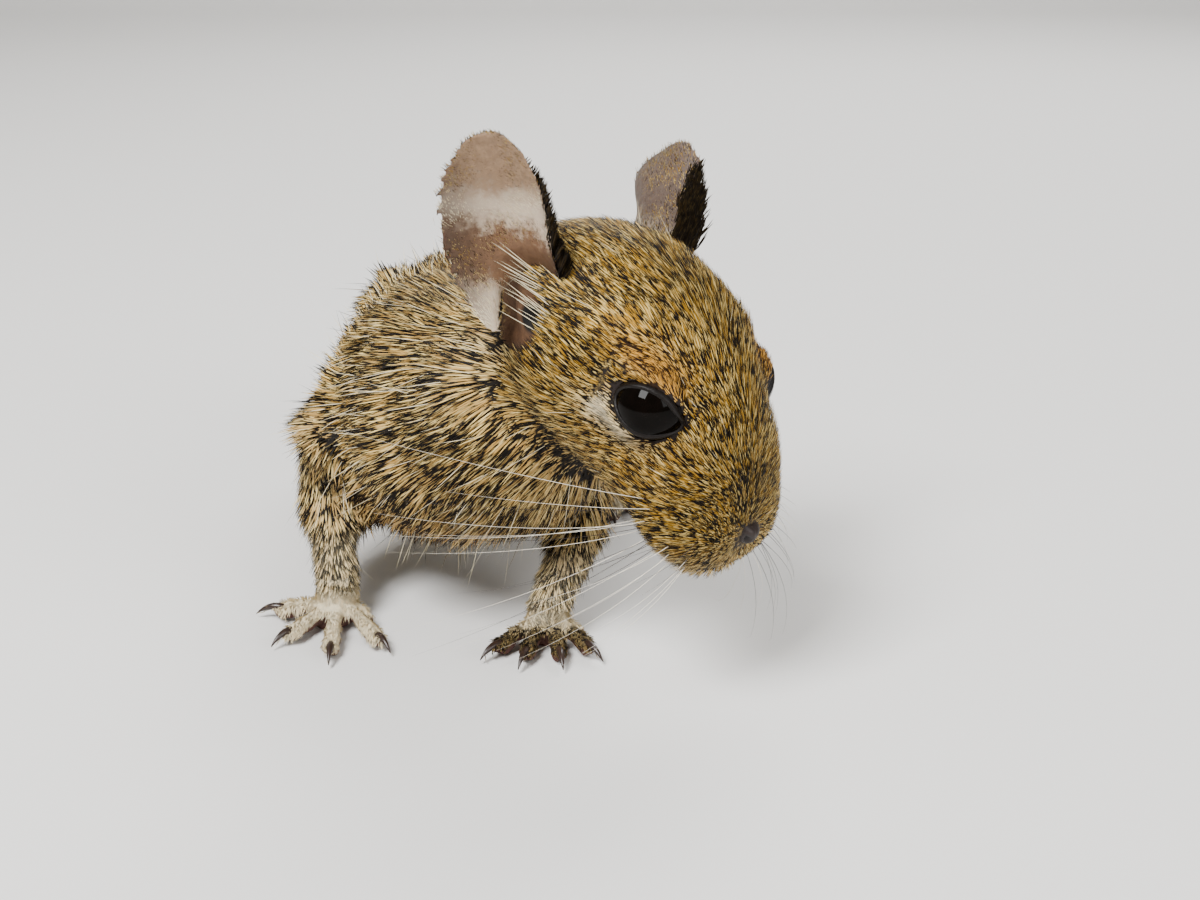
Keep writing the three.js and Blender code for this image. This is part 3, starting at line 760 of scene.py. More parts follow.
def clump_tips(roots, tips, spacing, pull, draw):
    """Draws the tips of neighbouring hairs together, so that they end in small locks."""
    count = len(tips)
    leaders = draw.choice(count, max(count // spacing, 1), replace=False)
    tree = KDTree(len(leaders))
    for i, leader in enumerate(leaders):
        tree.insert(roots["points"][leader], i)
    tree.balance()
    near = np.array([[hit[1] for hit in tree.find_n(p, 4)] for p in roots["points"]])
    gaps = roots["points"][leaders[near]] - roots["points"][:, None]
    flow = roots["flow"][:, None]
    gaps -= flow * np.sum(gaps * flow, axis=2, keepdims=True) * 0.75
    best = np.argmin(np.linalg.norm(gaps, axis=2), axis=1)
    chosen = leaders[near[np.arange(count), best]]
    offset = tips[chosen] - roots["points"][chosen]
    target = roots["points"][chosen] + offset
    reach = np.linalg.norm(offset, axis=1)
    gap = np.linalg.norm(target - tips, axis=1)
    share = pull * np.clip(1.6 - gap / np.maximum(reach, 1e-9), 0, 1) * draw.uniform(0.4, 1, count)
    own = draw.uniform(0, 1, count)
    chance = np.where(draw.uniform(0, 1, count) < 0.6, own[chosen] + draw.normal(size=count) * 0.06, own)
    return tips + (target - tips) * share[:, None], np.clip(chance, 0, 1)


# A blade has three pairs of points and a tip, joined by two quads and a triangle
BLADE_STEPS = (0.0, 0.38, 0.72, 1.0)
BLADE_WIDTHS = (0.85, 1.0, 0.68)
BLADE_POINTS = 7
BLADE_CORNERS = np.array((0, 1, 3, 2, 2, 3, 5, 4, 4, 5, 6))
BLADE_FACE_STARTS = np.array((0, 4, 8))
PATCH = 0.003


def blade_mesh(name, roots, draw, bend=0.5, spacing=4, pull=0.5, jitter=0.12):
    """Hairs as slim tapering blades that lie along the flow and bend back to the skin."""
    count = len(roots["points"])
    length, width, lift = (roots["sizes"][:, i] for i in range(3))
    length = length * MM * draw.uniform(0.7, 1.22, count)
    width = width * MM * draw.uniform(0.75, 1.2, count)
    lift = np.radians(lift * draw.uniform(0.5, 1.45, count))
    normal, flow = roots["normals"], roots["flow"]
    across = np.cross(normal, flow)
    swing = ripple(roots["points"], 7 * MM, 21) * 0.2 + draw.normal(size=count) * jitter
    flow = unit(flow * np.cos(swing)[:, None] + across * np.sin(swing)[:, None])
    across = unit(np.cross(normal, flow))
    rise = np.sin(lift)[:, None] * length[:, None]
    run = np.cos(lift)[:, None] * length[:, None]
    free_tips = roots["points"] + flow * run + normal * rise * (1 - bend * 0.5)
    tips, chance = clump_tips(roots, free_tips, spacing, pull, draw)
    shift = tips - free_tips
    points = np.empty((count, BLADE_POINTS, 3))
    for i, step in enumerate(BLADE_STEPS):
        place = roots["points"] - normal * 0.15 * MM * (1 - step)
        place = place + flow * run * step + normal * rise * (step - bend * 0.5 * step * step)
        place = place + shift * step ** 1.6
        if step == 1:
            points[:, -1] = place
            continue
        half = across * (width * BLADE_WIDTHS[i] / 2)[:, None]
        points[:, 2 * i] = place - half
        points[:, 2 * i + 1] = place + half
    points[:, :, 2] = np.maximum(points[:, :, 2], 0.02 * MM)
    return strand_mesh(name, points, roots, chance, draw)


def strand_mesh(name, points, roots, chance, draw):
    """Writes the blades' points, faces, map and attributes into a mesh."""
    count = len(points)
    mesh = bpy.data.meshes.new(name)
    mesh.vertices.add(count * BLADE_POINTS)
    mesh.vertices.foreach_set("co", points.astype(np.float32).ravel())
    blades = np.arange(count)[:, None]
    corners = (BLADE_CORNERS + BLADE_POINTS * blades).ravel()
    mesh.loops.add(len(corners))
    mesh.loops.foreach_set("vertex_index", corners.astype(np.int32))
    starts = (BLADE_FACE_STARTS + len(BLADE_CORNERS) * blades).ravel()
    mesh.polygons.add(len(starts))
    mesh.polygons.foreach_set("loop_start", starts.astype(np.int32))
    mesh.update(calc_edges=True)
    along = np.repeat(BLADE_STEPS, 2)[:BLADE_POINTS]
    across = np.array((0.0, 1.0, 0.0, 1.0, 0.1, 0.9, 0.5))
    strand = np.empty((count, BLADE_POINTS, 3), np.float32)
    strand[:, :, 0] = along
    strand[:, :, 1] = chance[:, None]
    strand[:, :, 2] = draw.uniform(0, 1, count)[:, None]
    add_vector(mesh, "strand", strand.reshape(-1, 3))
    add_vector(mesh, "marks", np.repeat(roots["marks"], BLADE_POINTS, axis=0))
    layer = mesh.uv_layers.new(name="OFBake")
    patch = np.stack((across, along), axis=1)[BLADE_CORNERS] - 0.5
    uvs = roots["uv"][:, None] + patch * PATCH
    layer.data.foreach_set("uv", np.clip(uvs, 0, 1).astype(np.float32).ravel())
    return mesh


def add_vector(mesh, name, values):
    """Writes three numbers for each point of a mesh."""
    layer = mesh.attributes.new(name, "FLOAT_VECTOR", "POINT")
    layer.data.foreach_set("vector", np.asarray(values, np.float32).ravel())


# Shader helpers


class Nodes:
    """Adds and joins the nodes of one material or group."""

    def __init__(self, tree):
        self.tree = tree

    def add(self, kind, **settings):
        """One node with its settings."""
        node = self.tree.nodes.new(kind)
        for name, value in settings.items():
            setattr(node, name, value)
        return node

    def link(self, value, socket):
        """Joins a socket to another, or sets it to a value."""
        if isinstance(value, bpy.types.NodeSocket):
            self.tree.links.new(value, socket)
        elif isinstance(value, tuple) and len(value) == 3 and socket.type == "RGBA":
            socket.default_value = (*value, 1)
        else:
            socket.default_value = value

    def math(self, operation, *values):
        """One step of arithmetic."""
        node = self.add("ShaderNodeMath", operation=operation)
        for value, socket in zip(values, node.inputs):
            self.link(value, socket)
        return node.outputs[0]

    def mix(self, share, first, second):
        """Two colours blended."""
        node = self.add("ShaderNodeMix", data_type="RGBA")
        self.link(share, node.inputs["Factor"])
        self.link(first, node.inputs[6])
        self.link(second, node.inputs[7])
        return node.outputs[2]

    def ramp(self, value, low, high):
        """A smooth rise from nothing at low to one at high."""
        node = self.add("ShaderNodeMapRange", interpolation_type="SMOOTHSTEP")
        self.link(value, node.inputs["Value"])
        node.inputs["From Min"].default_value = low
        node.inputs["From Max"].default_value = high
        return node.outputs[0]

    def noise(self, scale, detail, rough, place):
        """Smooth noise; scale is in features for each metre."""
        node = self.add("ShaderNodeTexNoise")
        self.link(place, node.inputs["Vector"])
        node.inputs["Scale"].default_value = scale
        node.inputs["Detail"].default_value = detail
        node.inputs["Roughness"].default_value = rough
        return node.outputs["Fac"]

    def place(self):
        """The place on the piece."""
        return self.add("ShaderNodeTexCoord").outputs["Object"]

    def parts(self, name):
        """The three numbers of a mesh's attribute."""
        attribute = self.add("ShaderNodeAttribute", attribute_name=name)
        split = self.add("ShaderNodeSeparateXYZ")
        self.link(attribute.outputs["Vector"], split.inputs[0])
        return split.outputs

    def bump(self, height, distance, strength):
        """Fine relief."""
        node = self.add("ShaderNodeBump")
        node.inputs["Distance"].default_value = distance
        node.inputs["Strength"].default_value = strength
        self.link(height, node.inputs["Height"])
        return node.outputs["Normal"]

    def use(self, group, **values):
        """The outputs of a group that is given these values."""
        node = self.add("ShaderNodeGroup", node_tree=group)
        for name, value in values.items():
            self.link(value, node.inputs[name.replace("_", " ").capitalize()])
        return node.outputs


def new_group(name, inputs, outputs):
    """An empty shader group; returns it, its nodes, its inputs and its outputs."""
    tree = bpy.data.node_groups.new(name, "ShaderNodeTree")
    for socket, kind in inputs.items():
        tree.interface.new_socket(socket, in_out="INPUT", socket_type=f"NodeSocket{kind}")
    for socket, kind in outputs.items():
        tree.interface.new_socket(socket, in_out="OUTPUT", socket_type=f"NodeSocket{kind}")
    nodes = Nodes(tree)
    return tree, nodes, nodes.add("NodeGroupInput").outputs, nodes.add("NodeGroupOutput").inputs


def new_material(name, roughness=0.6, **settings):
    """A material with its shader's fixed numbers set; returns it, its nodes and its shader."""
    material = bpy.data.materials.new(name)
    material.use_nodes = True
    nodes = Nodes(material.node_tree)
    shader = material.node_tree.nodes["Principled BSDF"]
    shader.inputs["Roughness"].default_value = roughness
    for socket, value in settings.items():
        shader.inputs[socket.replace("_", " ")].default_value = value
    return material, nodes, shader.inputs


def srgb(text):
    """A linear colour from six hexadecimal digits."""
    values = [int(text[i:i + 2], 16) / 255 for i in (0, 2, 4)]
    return tuple(v / 12.92 if v < 0.04045 else ((v + 0.055) / 1.055) ** 2.4 for v in values)


def marks_group():
    """Pale and deep colours of the coat from its markings."""
    found = bpy.data.node_groups.get("coat_colours")
    if found:
        return found
    chosen = bpy.context.scene.degu_colours
    gold, straw, orange, cream, slate, umber = (
        tuple(getattr(chosen, name)) for name in ("gold", "straw", "orange", "cream", "slate", "umber"))
    tree, nodes, given, result = new_group(
        "coat_colours",
        {"Cream": "Float", "Orange": "Float", "Dark": "Float", "Chance": "Float"},
        {"Pale": "Color", "Deep": "Color"})
    pale = nodes.mix(nodes.ramp(given["Chance"], 0.2, 0.9), gold, straw)
    pale = nodes.mix(given["Orange"], pale, orange)
    pale = nodes.mix(given["Cream"], pale, cream)
    pale = nodes.mix(nodes.math("MULTIPLY", given["Dark"], 0.75), pale, slate)
    deep = nodes.mix(nodes.math("MULTIPLY", given["Orange"], 0.5), slate, umber)
    pale_roots = nodes.math("MULTIPLY", nodes.ramp(given["Cream"], 0.4, 0.95), 0.85)
    deep = nodes.mix(pale_roots, deep, cream)
    nodes.link(pale, result["Pale"])
    nodes.link(deep, result["Deep"])
    return tree


def coat_material():
    """Hair with a dark root, a pale band and a dark tip, shared by all coat pieces."""
    material = bpy.data.materials.get("hair")
    if material:
        return material
    material, nodes, shader = new_material("hair", 0.6, Specular_IOR_Level=0.12)
    along, chance, second = nodes.parts("strand")
    cream, orange, dark = nodes.parts("marks")
    colours = nodes.use(marks_group(), cream=cream, orange=orange, dark=dark, chance=second)
    start = nodes.math("MULTIPLY_ADD", second, 0.2, 0.2)
    rise = nodes.ramp(nodes.math("SUBTRACT", along, start), 0.0, 0.16)
    end = nodes.math("MULTIPLY_ADD", chance, 0.5, 0.52)
    fall = nodes.ramp(nodes.math("SUBTRACT", end, along), 0.0, 0.12)
    band = nodes.math("MULTIPLY", rise, fall)
    plain = nodes.math("GREATER_THAN", chance, 0.3)
    band = nodes.math("MULTIPLY", band, plain)
    tint = nodes.mix(band, colours["Deep"], colours["Pale"])
    black = nodes.math("GREATER_THAN", dark, 0.97)
    slate = tuple(bpy.context.scene.degu_colours.slate)
    tint = nodes.mix(nodes.math("MULTIPLY", black, 0.85), tint, slate)
    nodes.link(tint, shader["Base Color"])
    return material


def skin_material():
    """The skin under the coat, ruffled like the roots of the hair."""
    material, nodes, shader = new_material("skin", 0.75, Specular_IOR_Level=0.25)
    cream, orange, dark = nodes.parts("marks")
    place = nodes.place()
    grain = nodes.noise(2600, 3, 0.6, place)
    colours = nodes.use(marks_group(), cream=cream, orange=orange, dark=dark, chance=grain)
    share = nodes.math("MULTIPLY", nodes.ramp(grain, 0.42, 0.62), 0.6)
    tint = nodes.mix(share, colours["Deep"], colours["Pale"])
    bare = nodes.parts("bare")
    tint = nodes.mix(bare[0], tint, srgb("1c1411"))
    tint = nodes.mix(bare[1], tint, nodes.mix(grain, srgb("2c1a15"), srgb("6e4a40")))
    hollow = nodes.mix(nodes.noise(900, 3, 0.6, place), srgb("2e1c12"), srgb("6a4c34"))
    tint = nodes.mix(bare[2], tint, hollow)
    # Painted shade: the ear canals are painted near black where the hollow and canal values sum past 1.15.
    tint = nodes.mix(nodes.ramp(bare[2], 1.15, 1.6), tint, srgb("060403"))
    nodes.link(tint, shader["Base Color"])
    nodes.link(nodes.bump(grain, 0.00012, 0.6), shader["Normal"])
    return material


# Settings


class DeguColours(bpy.types.PropertyGroup):
    """Colours of the coat, as named tones."""

    gold: bpy.props.FloatVectorProperty(
        name="Gold", description="Olive gold of the banded hairs", subtype="COLOR", size=3,
        default=srgb("a87c1e"))
    straw: bpy.props.FloatVectorProperty(
        name="Straw", description="Paler straw of the banded hairs", subtype="COLOR", size=3,
        default=srgb("dfc277"))
    orange: bpy.props.FloatVectorProperty(
        name="Orange", description="Warm patch over the eye and on the flank", subtype="COLOR", size=3,
        default=srgb("d89a3e"))
    cream: bpy.props.FloatVectorProperty(
        name="Cream", description="Pale hair of the feet, the belly and below the eye", subtype="COLOR",
        size=3, default=srgb("e6d9b8"))
    slate: bpy.props.FloatVectorProperty(
        name="Slate", description="Black-brown of hair roots and tips", subtype="COLOR", size=3,
        default=srgb("15100b"))
    umber: bpy.props.FloatVectorProperty(
        name="Umber", description="Warm dark brown of the flank", subtype="COLOR", size=3,
        default=srgb("4a3018"))


class DeguCoat(bpy.types.PropertyGroup):
    """How many hairs the coat has."""

    body_hairs: bpy.props.IntProperty(
        name="Body and head hairs", description="Hairs on the skin, tail and feet", default=262000,
        min=1000)
    ear_hairs: bpy.props.IntProperty(
        name="Ear hairs", description="Short hairs on both ears", default=15000, min=100)
    hairs_per_piece: bpy.props.IntProperty(
        name="Hairs per piece", description="Most hairs that one coat piece holds", default=39000,
        min=1000)


class Build:
    """What one operator leaves for the next."""

    skin = None
    skin_piece = None


# Pieces, each with its operator


class DEGU_OT_skin(bpy.types.Operator):
    """Body, head, limbs and feet as one skin, inside the solids by the depth of the coat"""

    bl_idname = "degu.skin"
    bl_label = "Skin"

    def execute(self, context):
        skin = coat_fields(build_skin())
        mesh = new_mesh("skin", skin["points"], skin["quads"])
        add_vector(mesh, "marks", skin["marks"])
        add_vector(mesh, "bare", bare_parts(skin))
        piece = new_object("skin", mesh, skin_material(), SKIN_NODES)
        unwrap(piece)
        Build.skin = skin
        Build.skin_piece = piece
        return {"FINISHED"}


class DEGU_OT_coat(bpy.types.Operator):
    """The coat, as slim blades in pieces, along the lie of the hair"""

    bl_idname = "degu.coat"
    bl_label = "Coat"

    def execute(self, context):
        settings = context.scene.degu_coat
        draw = np.random.default_rng(SEED)
        skin = Build.skin
        count = settings.body_hairs
        roots = scatter(Build.skin_piece.data, skin, skin["sizes"][:, 3], count, draw)
        order = np.argsort(roots["points"][:, 1] + roots["points"][:, 2] * 0.2)
        pieces = math.ceil(count / settings.hairs_per_piece)
        for i, picks in enumerate(np.array_split(order, pieces)):
            part = {name: values[picks] for name, values in roots.items()}
            mesh = blade_mesh(f"coat_{i + 1}", part, draw)
            new_object(f"coat_{i + 1}", mesh, coat_material())
        return {"FINISHED"}


def ear_frame(side):
    """The ways an ear rises, faces and leads, and its lobe's place."""
    rises = unit(head_way(EAR_RISES, side))
    faces = head_way(EAR_FACES, side)
    faces = unit(faces - rises * (faces @ rises))
    front = np.cross(rises, faces) * -side
    return rises, faces, front, head_point(EAR_LOBE, side)


def ear_material():
    """Thin skin with a pale band, a pale lobe and warm brown between them, and painted shade low in the
    front of the cup.
    """
    material, nodes, shader = new_material(
        "ear_skin", 0.6, Subsurface_Weight=0.08, Subsurface_Scale=0.0008, Specular_IOR_Level=0.3)
    inner, height, crosswise = nodes.parts("ear")
    place = nodes.place()
    fine = nodes.noise(1500, 4, 0.6, place)
    broad = nodes.noise(260, 3, 0.55, place)
    wavy = nodes.math("MULTIPLY_ADD", broad, 0.3, nodes.math("SUBTRACT", height, 0.15))
    wavy = nodes.math("MULTIPLY_ADD", fine, 0.2, nodes.math("SUBTRACT", wavy, 0.1))
    wavy = nodes.math("MULTIPLY_ADD", crosswise, 0.07, wavy)
    pale = nodes.math("MULTIPLY", nodes.ramp(wavy, 0.46, 0.6), nodes.ramp(wavy, 0.8, 0.62))
    lobe = nodes.ramp(wavy, 0.3, 0.12)
    skin = nodes.mix(fine, srgb("5c4634"), srgb("9c8064"))
    warm = nodes.math("MULTIPLY", nodes.ramp(wavy, 0.56, 0.48), nodes.ramp(wavy, 0.2, 0.3))
    brown = nodes.mix(fine, srgb("40281a"), srgb("7a5638"))
    skin = nodes.mix(nodes.math("MULTIPLY", warm, 0.8), skin, brown)
    skin = nodes.mix(nodes.math("MULTIPLY", pale, 0.6), skin, srgb("cdbda9"))
    skin = nodes.mix(nodes.math("MULTIPLY", lobe, 0.7), skin, srgb("c9b8a2"))
    edge = nodes.ramp(crosswise, -0.2, -1.0)
    skin = nodes.mix(nodes.math("MULTIPLY", edge, 0.75), skin, srgb("34261c"))
    # Painted shade: the inside of the cup is darkened low towards its front, where its shadow lies.
    deep = nodes.math("MULTIPLY", nodes.ramp(crosswise, 0.0, 0.8), nodes.ramp(height, 0.5, 0.3))
    skin = nodes.mix(nodes.math("MULTIPLY", deep, 0.6), skin, srgb("2a1a12"))
    outer = nodes.mix(fine, srgb("40342d"), srgb("6c5b50"))
    outer = nodes.mix(nodes.math("MULTIPLY", nodes.ramp(wavy, 0.5, 0.25), 0.85), outer, srgb("cfc0a4"))
    tint = nodes.mix(inner, outer, skin)
    tint = nodes.mix(nodes.ramp(crosswise, 0.55, 1.0), tint, srgb("2f2722"))
    nodes.link(tint, shader["Base Color"])
    height_map = nodes.math("ADD", nodes.math("MULTIPLY", fine, 0.5), broad)
    nodes.link(nodes.bump(height_map, 0.00018, 0.7), shader["Normal"])
    return material


def rooted(points):
    """Carries the foot of an ear on into the head's skin."""
    skin = Build.skin
    tree = KDTree(len(skin["points"]))
    for i in np.flatnonzero(on_parts(skin["labels"], "head")):
        tree.insert(skin["points"][i], i)
    tree.balance()
    hits = [tree.find(p) for p in points]
    gaps = np.array([hit[2] for hit in hits]) / MM
    normals = skin["normals"][[hit[1] for hit in hits]]
    return points - normals * (3.4 * MM * np.clip(1.25 - gaps / 2.6, 0, 1))[:, None]


def upright_ear(points, lobe, rises, front):
    """The left ear, held a little lower and broader at the top than the right one."""
    height = (points - lobe) @ rises
    crosswise = (points - lobe) @ front
    share = np.clip(height / (EAR_LENGTH * MM), 0, 1)
    points = points - rises * (height * 0.13 * share)[:, None]
    behind = 0.9 * np.exp(-((share - 0.84) / 0.2) ** 2)
    ahead = 0.15 * np.sin(math.pi * share) - 0.3 * np.clip((share - 0.6) / 0.4, 0, 1)
    wider = np.where(crosswise < 0, behind, ahead)
    points = points + front * (crosswise * wider)[:, None]
    return points + np.array((1, 0, 0)) * MM * (1.1 * np.sin(share * 2.2))[:, None]


def ear_surface(side_name):
    """An ear's skin: its points, quads and normals."""
    side = SIDES[side_name]
    points, quads = remeshed([node_arrays(f"ear_{side_name}")], EAR_CELL * MM, EAR_SWELL * MM)
    points = smoothed(points, quad_edges(quads), 3)
    rises, faces, front, lobe = ear_frame(side)
    normals = point_normals(points, quad_tris(quads))
    local = points - lobe
    height = local @ rises / MM / EAR_LENGTH
    crosswise = local @ front / MM
    folds = np.sin(height * 16 + crosswise * 0.35) * 0.12 * np.exp(-((height - 0.35) / 0.25) ** 2)
    wave = ripple(points, 6 * MM, 31) * 0.16
    if side == LEFT:
        points = upright_ear(points, lobe, rises, front)
    points = rooted(points)
    points = points + faces * ((folds + wave) * MM)[:, None]
    points = points + front * (ripple(points, 5 * MM, 32) * 0.12 * MM)[:, None]
    return points, quads, normals


def ear_short_hair(side_name, mesh, fields, count, draw):
    """Fine hairs that lie close on both faces of an ear."""
    roots = scatter(mesh, fields, fields["sizes"][:, 3], count, draw)
    hair = blade_mesh(f"ear_{side_name}_hair", roots, draw, spacing=4, pull=0.2, jitter=0.2)
    new_object(f"ear_{side_name}_hair", hair, coat_material())


def ear_dark_strip(side_name, mesh, fields, spread, draw):
    """The longer dark hair on the front edge of an ear."""
    normals = fields["normals"]
    rises, _, front, _ = ear_frame(SIDES[side_name])
    inner, height, crosswise = spread
    strip = np.clip((crosswise - 0.55) / 0.25, 0, 1) * np.clip((0.95 - height) / 0.3, 0, 1)
    sizes = fields["sizes"] * (3.2, 2.2, 1.5, 1)
    sizes[:, 0] *= np.clip(1.2 - np.abs(height - 0.38) * 2.0, 0.12, 1)
    flow = unit(rises * 0.75 + front * 0.55 - normals * (normals @ front)[:, None] * 0.3)
    marks = np.tile((0.0, 0.1, 1.0), (len(normals), 1))
    fields = {**fields, "sizes": sizes, "flow": flow, "marks": marks}
    roots = scatter(mesh, fields, strip * (1 - inner * 0.8) + 1e-9, EAR_STRIP_HAIRS, draw)
    dark = blade_mesh(f"ear_{side_name}_strip", roots, draw, spacing=5, pull=0.3, jitter=0.15)
    new_object(f"ear_{side_name}_strip", dark, coat_material())


class DEGU_OT_ears(bpy.types.Operator):
    """Both ears, thin cups with folds, short hair and a strip of longer dark hair on each front edge"""

    bl_idname = "degu.ears"
    bl_label = "Ears"

    def execute(self, context):
        material = ear_material()
        draw = np.random.default_rng(SEED + 1)
        for side_name, side in SIDES.items():
            points, quads, normals = ear_surface(side_name)
            rises, faces, front, lobe = ear_frame(side)
            local = points - lobe
            height = local @ rises / MM / EAR_LENGTH
            inner = np.clip(normals @ faces * 1.4 + 0.5, 0, 1)
            crosswise = local @ front / MM / 6.5
            spread = (inner, height, crosswise)
            mesh = new_mesh(f"ear_{side_name}_skin", points, quads)
            add_vector(mesh, "ear", np.stack(spread, axis=1))
            piece = new_object(f"ear_{side_name}_skin", mesh, material, [f"ear_{side_name}"])
            unwrap(piece)
            outer_flow = rises - front * 0.25
            inner_flow = rises * 0.8 - front * 0.5
            flow = outer_flow + (inner_flow - outer_flow) * inner[:, None]
            flow = unit(flow - normals * np.sum(flow * normals, axis=1, keepdims=True))
            sizes = np.tile((0.7, 0.055, 9.0, 1.0), (len(points), 1))
            sizes[:, 0] += 0.5 * np.exp(-((height - 0.1) / 0.2) ** 2)
            pale = np.exp(-((height - 0.62) / 0.1) ** 2) + np.exp(-((height - 0.1) / 0.15) ** 2)
            cream = np.clip(pale * inner + (1 - inner) * np.clip(0.5 - height, 0, 1), 0, 1)
            dark = np.clip(0.55 - pale * 0.5, 0, 1)
            marks = np.stack((cream, np.zeros(len(points)), dark), axis=1)
            fields = {"points": points, "normals": normals, "flow": flow, "sizes": sizes, "marks": marks}
            ear_short_hair(side_name, mesh, fields, context.scene.degu_coat.ear_hairs // 2, draw)
            ear_dark_strip(side_name, mesh, fields, spread, draw)
        return {"FINISHED"}


def eye_material():
    """Glossy black."""
    material, nodes, shader = new_material("eye", 0.04, Specular_IOR_Level=0.06)
    grain = nodes.noise(900, 3, 0.5, nodes.place())
    nodes.link(nodes.mix(grain, srgb("020201"), srgb("0c0705")), shader["Base Color"])
    return material


def lid_material():
    """Dark soft skin."""
    material, nodes, shader = new_material("lid", 0.42, Specular_IOR_Level=0.18)
    grain = nodes.noise(3200, 4, 0.6, nodes.place())
    nodes.link(nodes.mix(grain, srgb("060403"), srgb("16100d")), shader["Base Color"])
    nodes.link(nodes.bump(grain, 0.00008, 0.8), shader["Normal"])
    return material


# Rings of the lids' rim in millimetres: how far out from the opening, and how high over the eye
LID_STEPS = (-0.1, 0.0, 0.08, 0.18, 0.3, 0.48, 0.75, 1.1)
LID_RISES = (0.05, 0.15, 0.22, 0.25, 0.24, 0.18, 0.05, -0.25)


def lid_arrays(side, turns=120):
    """A closed soft rim round the opening, resting on the eye."""
    looks, corner, across = eye_frame(side)
    angle = np.linspace(0, 2 * math.pi, turns, endpoint=False)
    reach = lid_reach(angle)
    radial = corner * np.cos(angle)[:, None] + across * np.sin(angle)[:, None]
    start = np.arcsin(np.clip(reach / (EYE_RADIUS + 0.2), 0, 0.97))
    rings = []
    for step, rise in zip(LID_STEPS, LID_RISES):
        tilt = start + step / EYE_RADIUS
        radius = EYE_RADIUS + rise
        rings.append(looks * (radius * np.cos(tilt))[:, None] + radial * (radius * np.sin(tilt))[:, None])
    inner = EYE_RADIUS - 0.5
    for tilt in (start + 0.35, start):
        rings.append(looks * (inner * np.cos(tilt))[:, None] + radial * (inner * np.sin(tilt))[:, None])
    points = eye_centre(side) + np.vstack(rings) * MM
    count = len(rings)
    quads = []
    for r in range(count):
        for s in range(turns):
            after = (s + 1) % turns
            below = (r + 1) % count
            quads.append((r * turns + s, r * turns + after, below * turns + after, below * turns + s))
    quads = np.array(quads)
    return points, quads if side == LEFT else quads[:, ::-1]


class DEGU_OT_eyes(bpy.types.Operator):
    """Glossy black eyes, each in dark soft lids"""

    bl_idname = "degu.eyes"
    bl_label = "Eyes"

    def execute(self, context):
        glossy = eye_material()
        dark = lid_material()
        for name, side in SIDES.items():
            bpy.ops.mesh.primitive_uv_sphere_add(segments=64, ring_count=40, radius=EYE_RADIUS * MM)
            maker = context.active_object
            mesh = maker.data
            bpy.data.objects.remove(maker)
            points = np.empty(len(mesh.vertices) * 3)
            mesh.vertices.foreach_get("co", points)
            points = points.reshape(-1, 3)
            looks, _, _ = eye_frame(side)
            bulge = np.clip(unit(points) @ looks, 0, 1) ** 6 * 0.25 * MM
            points = points + unit(points) * bulge[:, None] + eye_centre(side)
            mesh.vertices.foreach_set("co", points.ravel())
            mesh.materials.clear()
            new_object(f"eyeball_{name}", mesh, glossy, [f"eye_{name}"])
            lids = new_mesh(f"lids_{name}", *lid_arrays(side))
            new_object(f"lids_{name}", lids, dark)
        return {"FINISHED"}


def claw_material():
    """Dark horn."""
    material, nodes, shader = new_material("claw", 0.28, Specular_IOR_Level=0.5)
    grain = nodes.noise(2400, 3, 0.5, nodes.place())
    nodes.link(nodes.mix(grain, srgb("120c0a"), srgb("3c2c24")), shader["Base Color"])
    return material


def claw_arrays(start, end):
    """A curved tapering claw at the end of a toe."""
    start, end = np.array(start), np.array(end)
    way = unit(np.append(end - start, 0.0))
    root = np.append(end, CLAW_LIFT + 0.42) - way * 0.8
    path = []
    for t in np.linspace(0, 1, 9):
        drop = 0.45 * math.sin(t * 2.2) - 1.25 * t * t
        path.append(root + way * CLAW_LENGTH * t + np.array((0, 0, drop)))
    path = np.array(path)
    path[:, 2] = np.maximum(path[:, 2], 0.2)
    radii = CLAW_RADIUS * (1 - np.linspace(0, 1, 9) ** 1.6 * 0.9)
    return tube_arrays(UNDER_HEAD + path * MM, radii * MM, sides=10)


class DEGU_OT_claws(bpy.types.Operator):
    """Dark curved claws on all toes"""

    bl_idname = "degu.claws"
    bl_label = "Claws"

    def execute(self, context):
        claws = [claw_arrays(root, end) for root, end in toe_lines()]
        mesh = new_mesh("claws", *joined(claws))
        new_object("claws", mesh, claw_material())
        return {"FINISHED"}


def whisker_material(name, colour):
    """A smooth bristle."""
    material, nodes, shader = new_material(name, 0.35, Specular_IOR_Level=0.5)
    grain = nodes.noise(700, 2, 0.5, nodes.place())
    nodes.link(nodes.mix(grain, colour, tuple(c * 0.7 for c in colour)), shader["Base Color"])
    return material


def whisker_arrays(root, way, length, droop):
    """A tapering whisker, shortened until it stays within its reach past the solids' box."""
    along = np.linspace(0, 1, 12)
    t = along[:, None]
    past = np.array(WHISKER_PAST_BOX) * MM
    low = np.array(CAD_BOUNDS[0])[:2] - past
    high = np.array(CAD_BOUNDS[1])[:2] + past
    while True:
        path = root + way * length * t + droop * length * t * t
        if np.all(path[:, :2] > low) and np.all(path[:, :2] < high):
            break
        length *= 0.94
    path[:, 2] = np.maximum(path[:, 2], 0.4 * MM)
    return tube_arrays(path, WHISKER_RADIUS * MM * (1 - 0.88 * along), sides=5)


def nose_material():
    """Dark finely pitted skin, with painted shade in the nostrils."""
    material, nodes, shader = new_material("nose", 0.5, Specular_IOR_Level=0.35)
    grain = nodes.noise(3000, 4, 0.6, nodes.place())
    pit = nodes.parts("pit")[0]
    tint = nodes.mix(grain, srgb("120b09"), srgb("2a1c17"))
    # Painted shade: the nostrils are painted darker by how deep in them each point lies.
    nodes.link(nodes.mix(pit, tint, srgb("0a0605")), shader["Base Color"])
    nodes.link(nodes.bump(grain, 0.00006, 0.7), shader["Normal"])
    return material


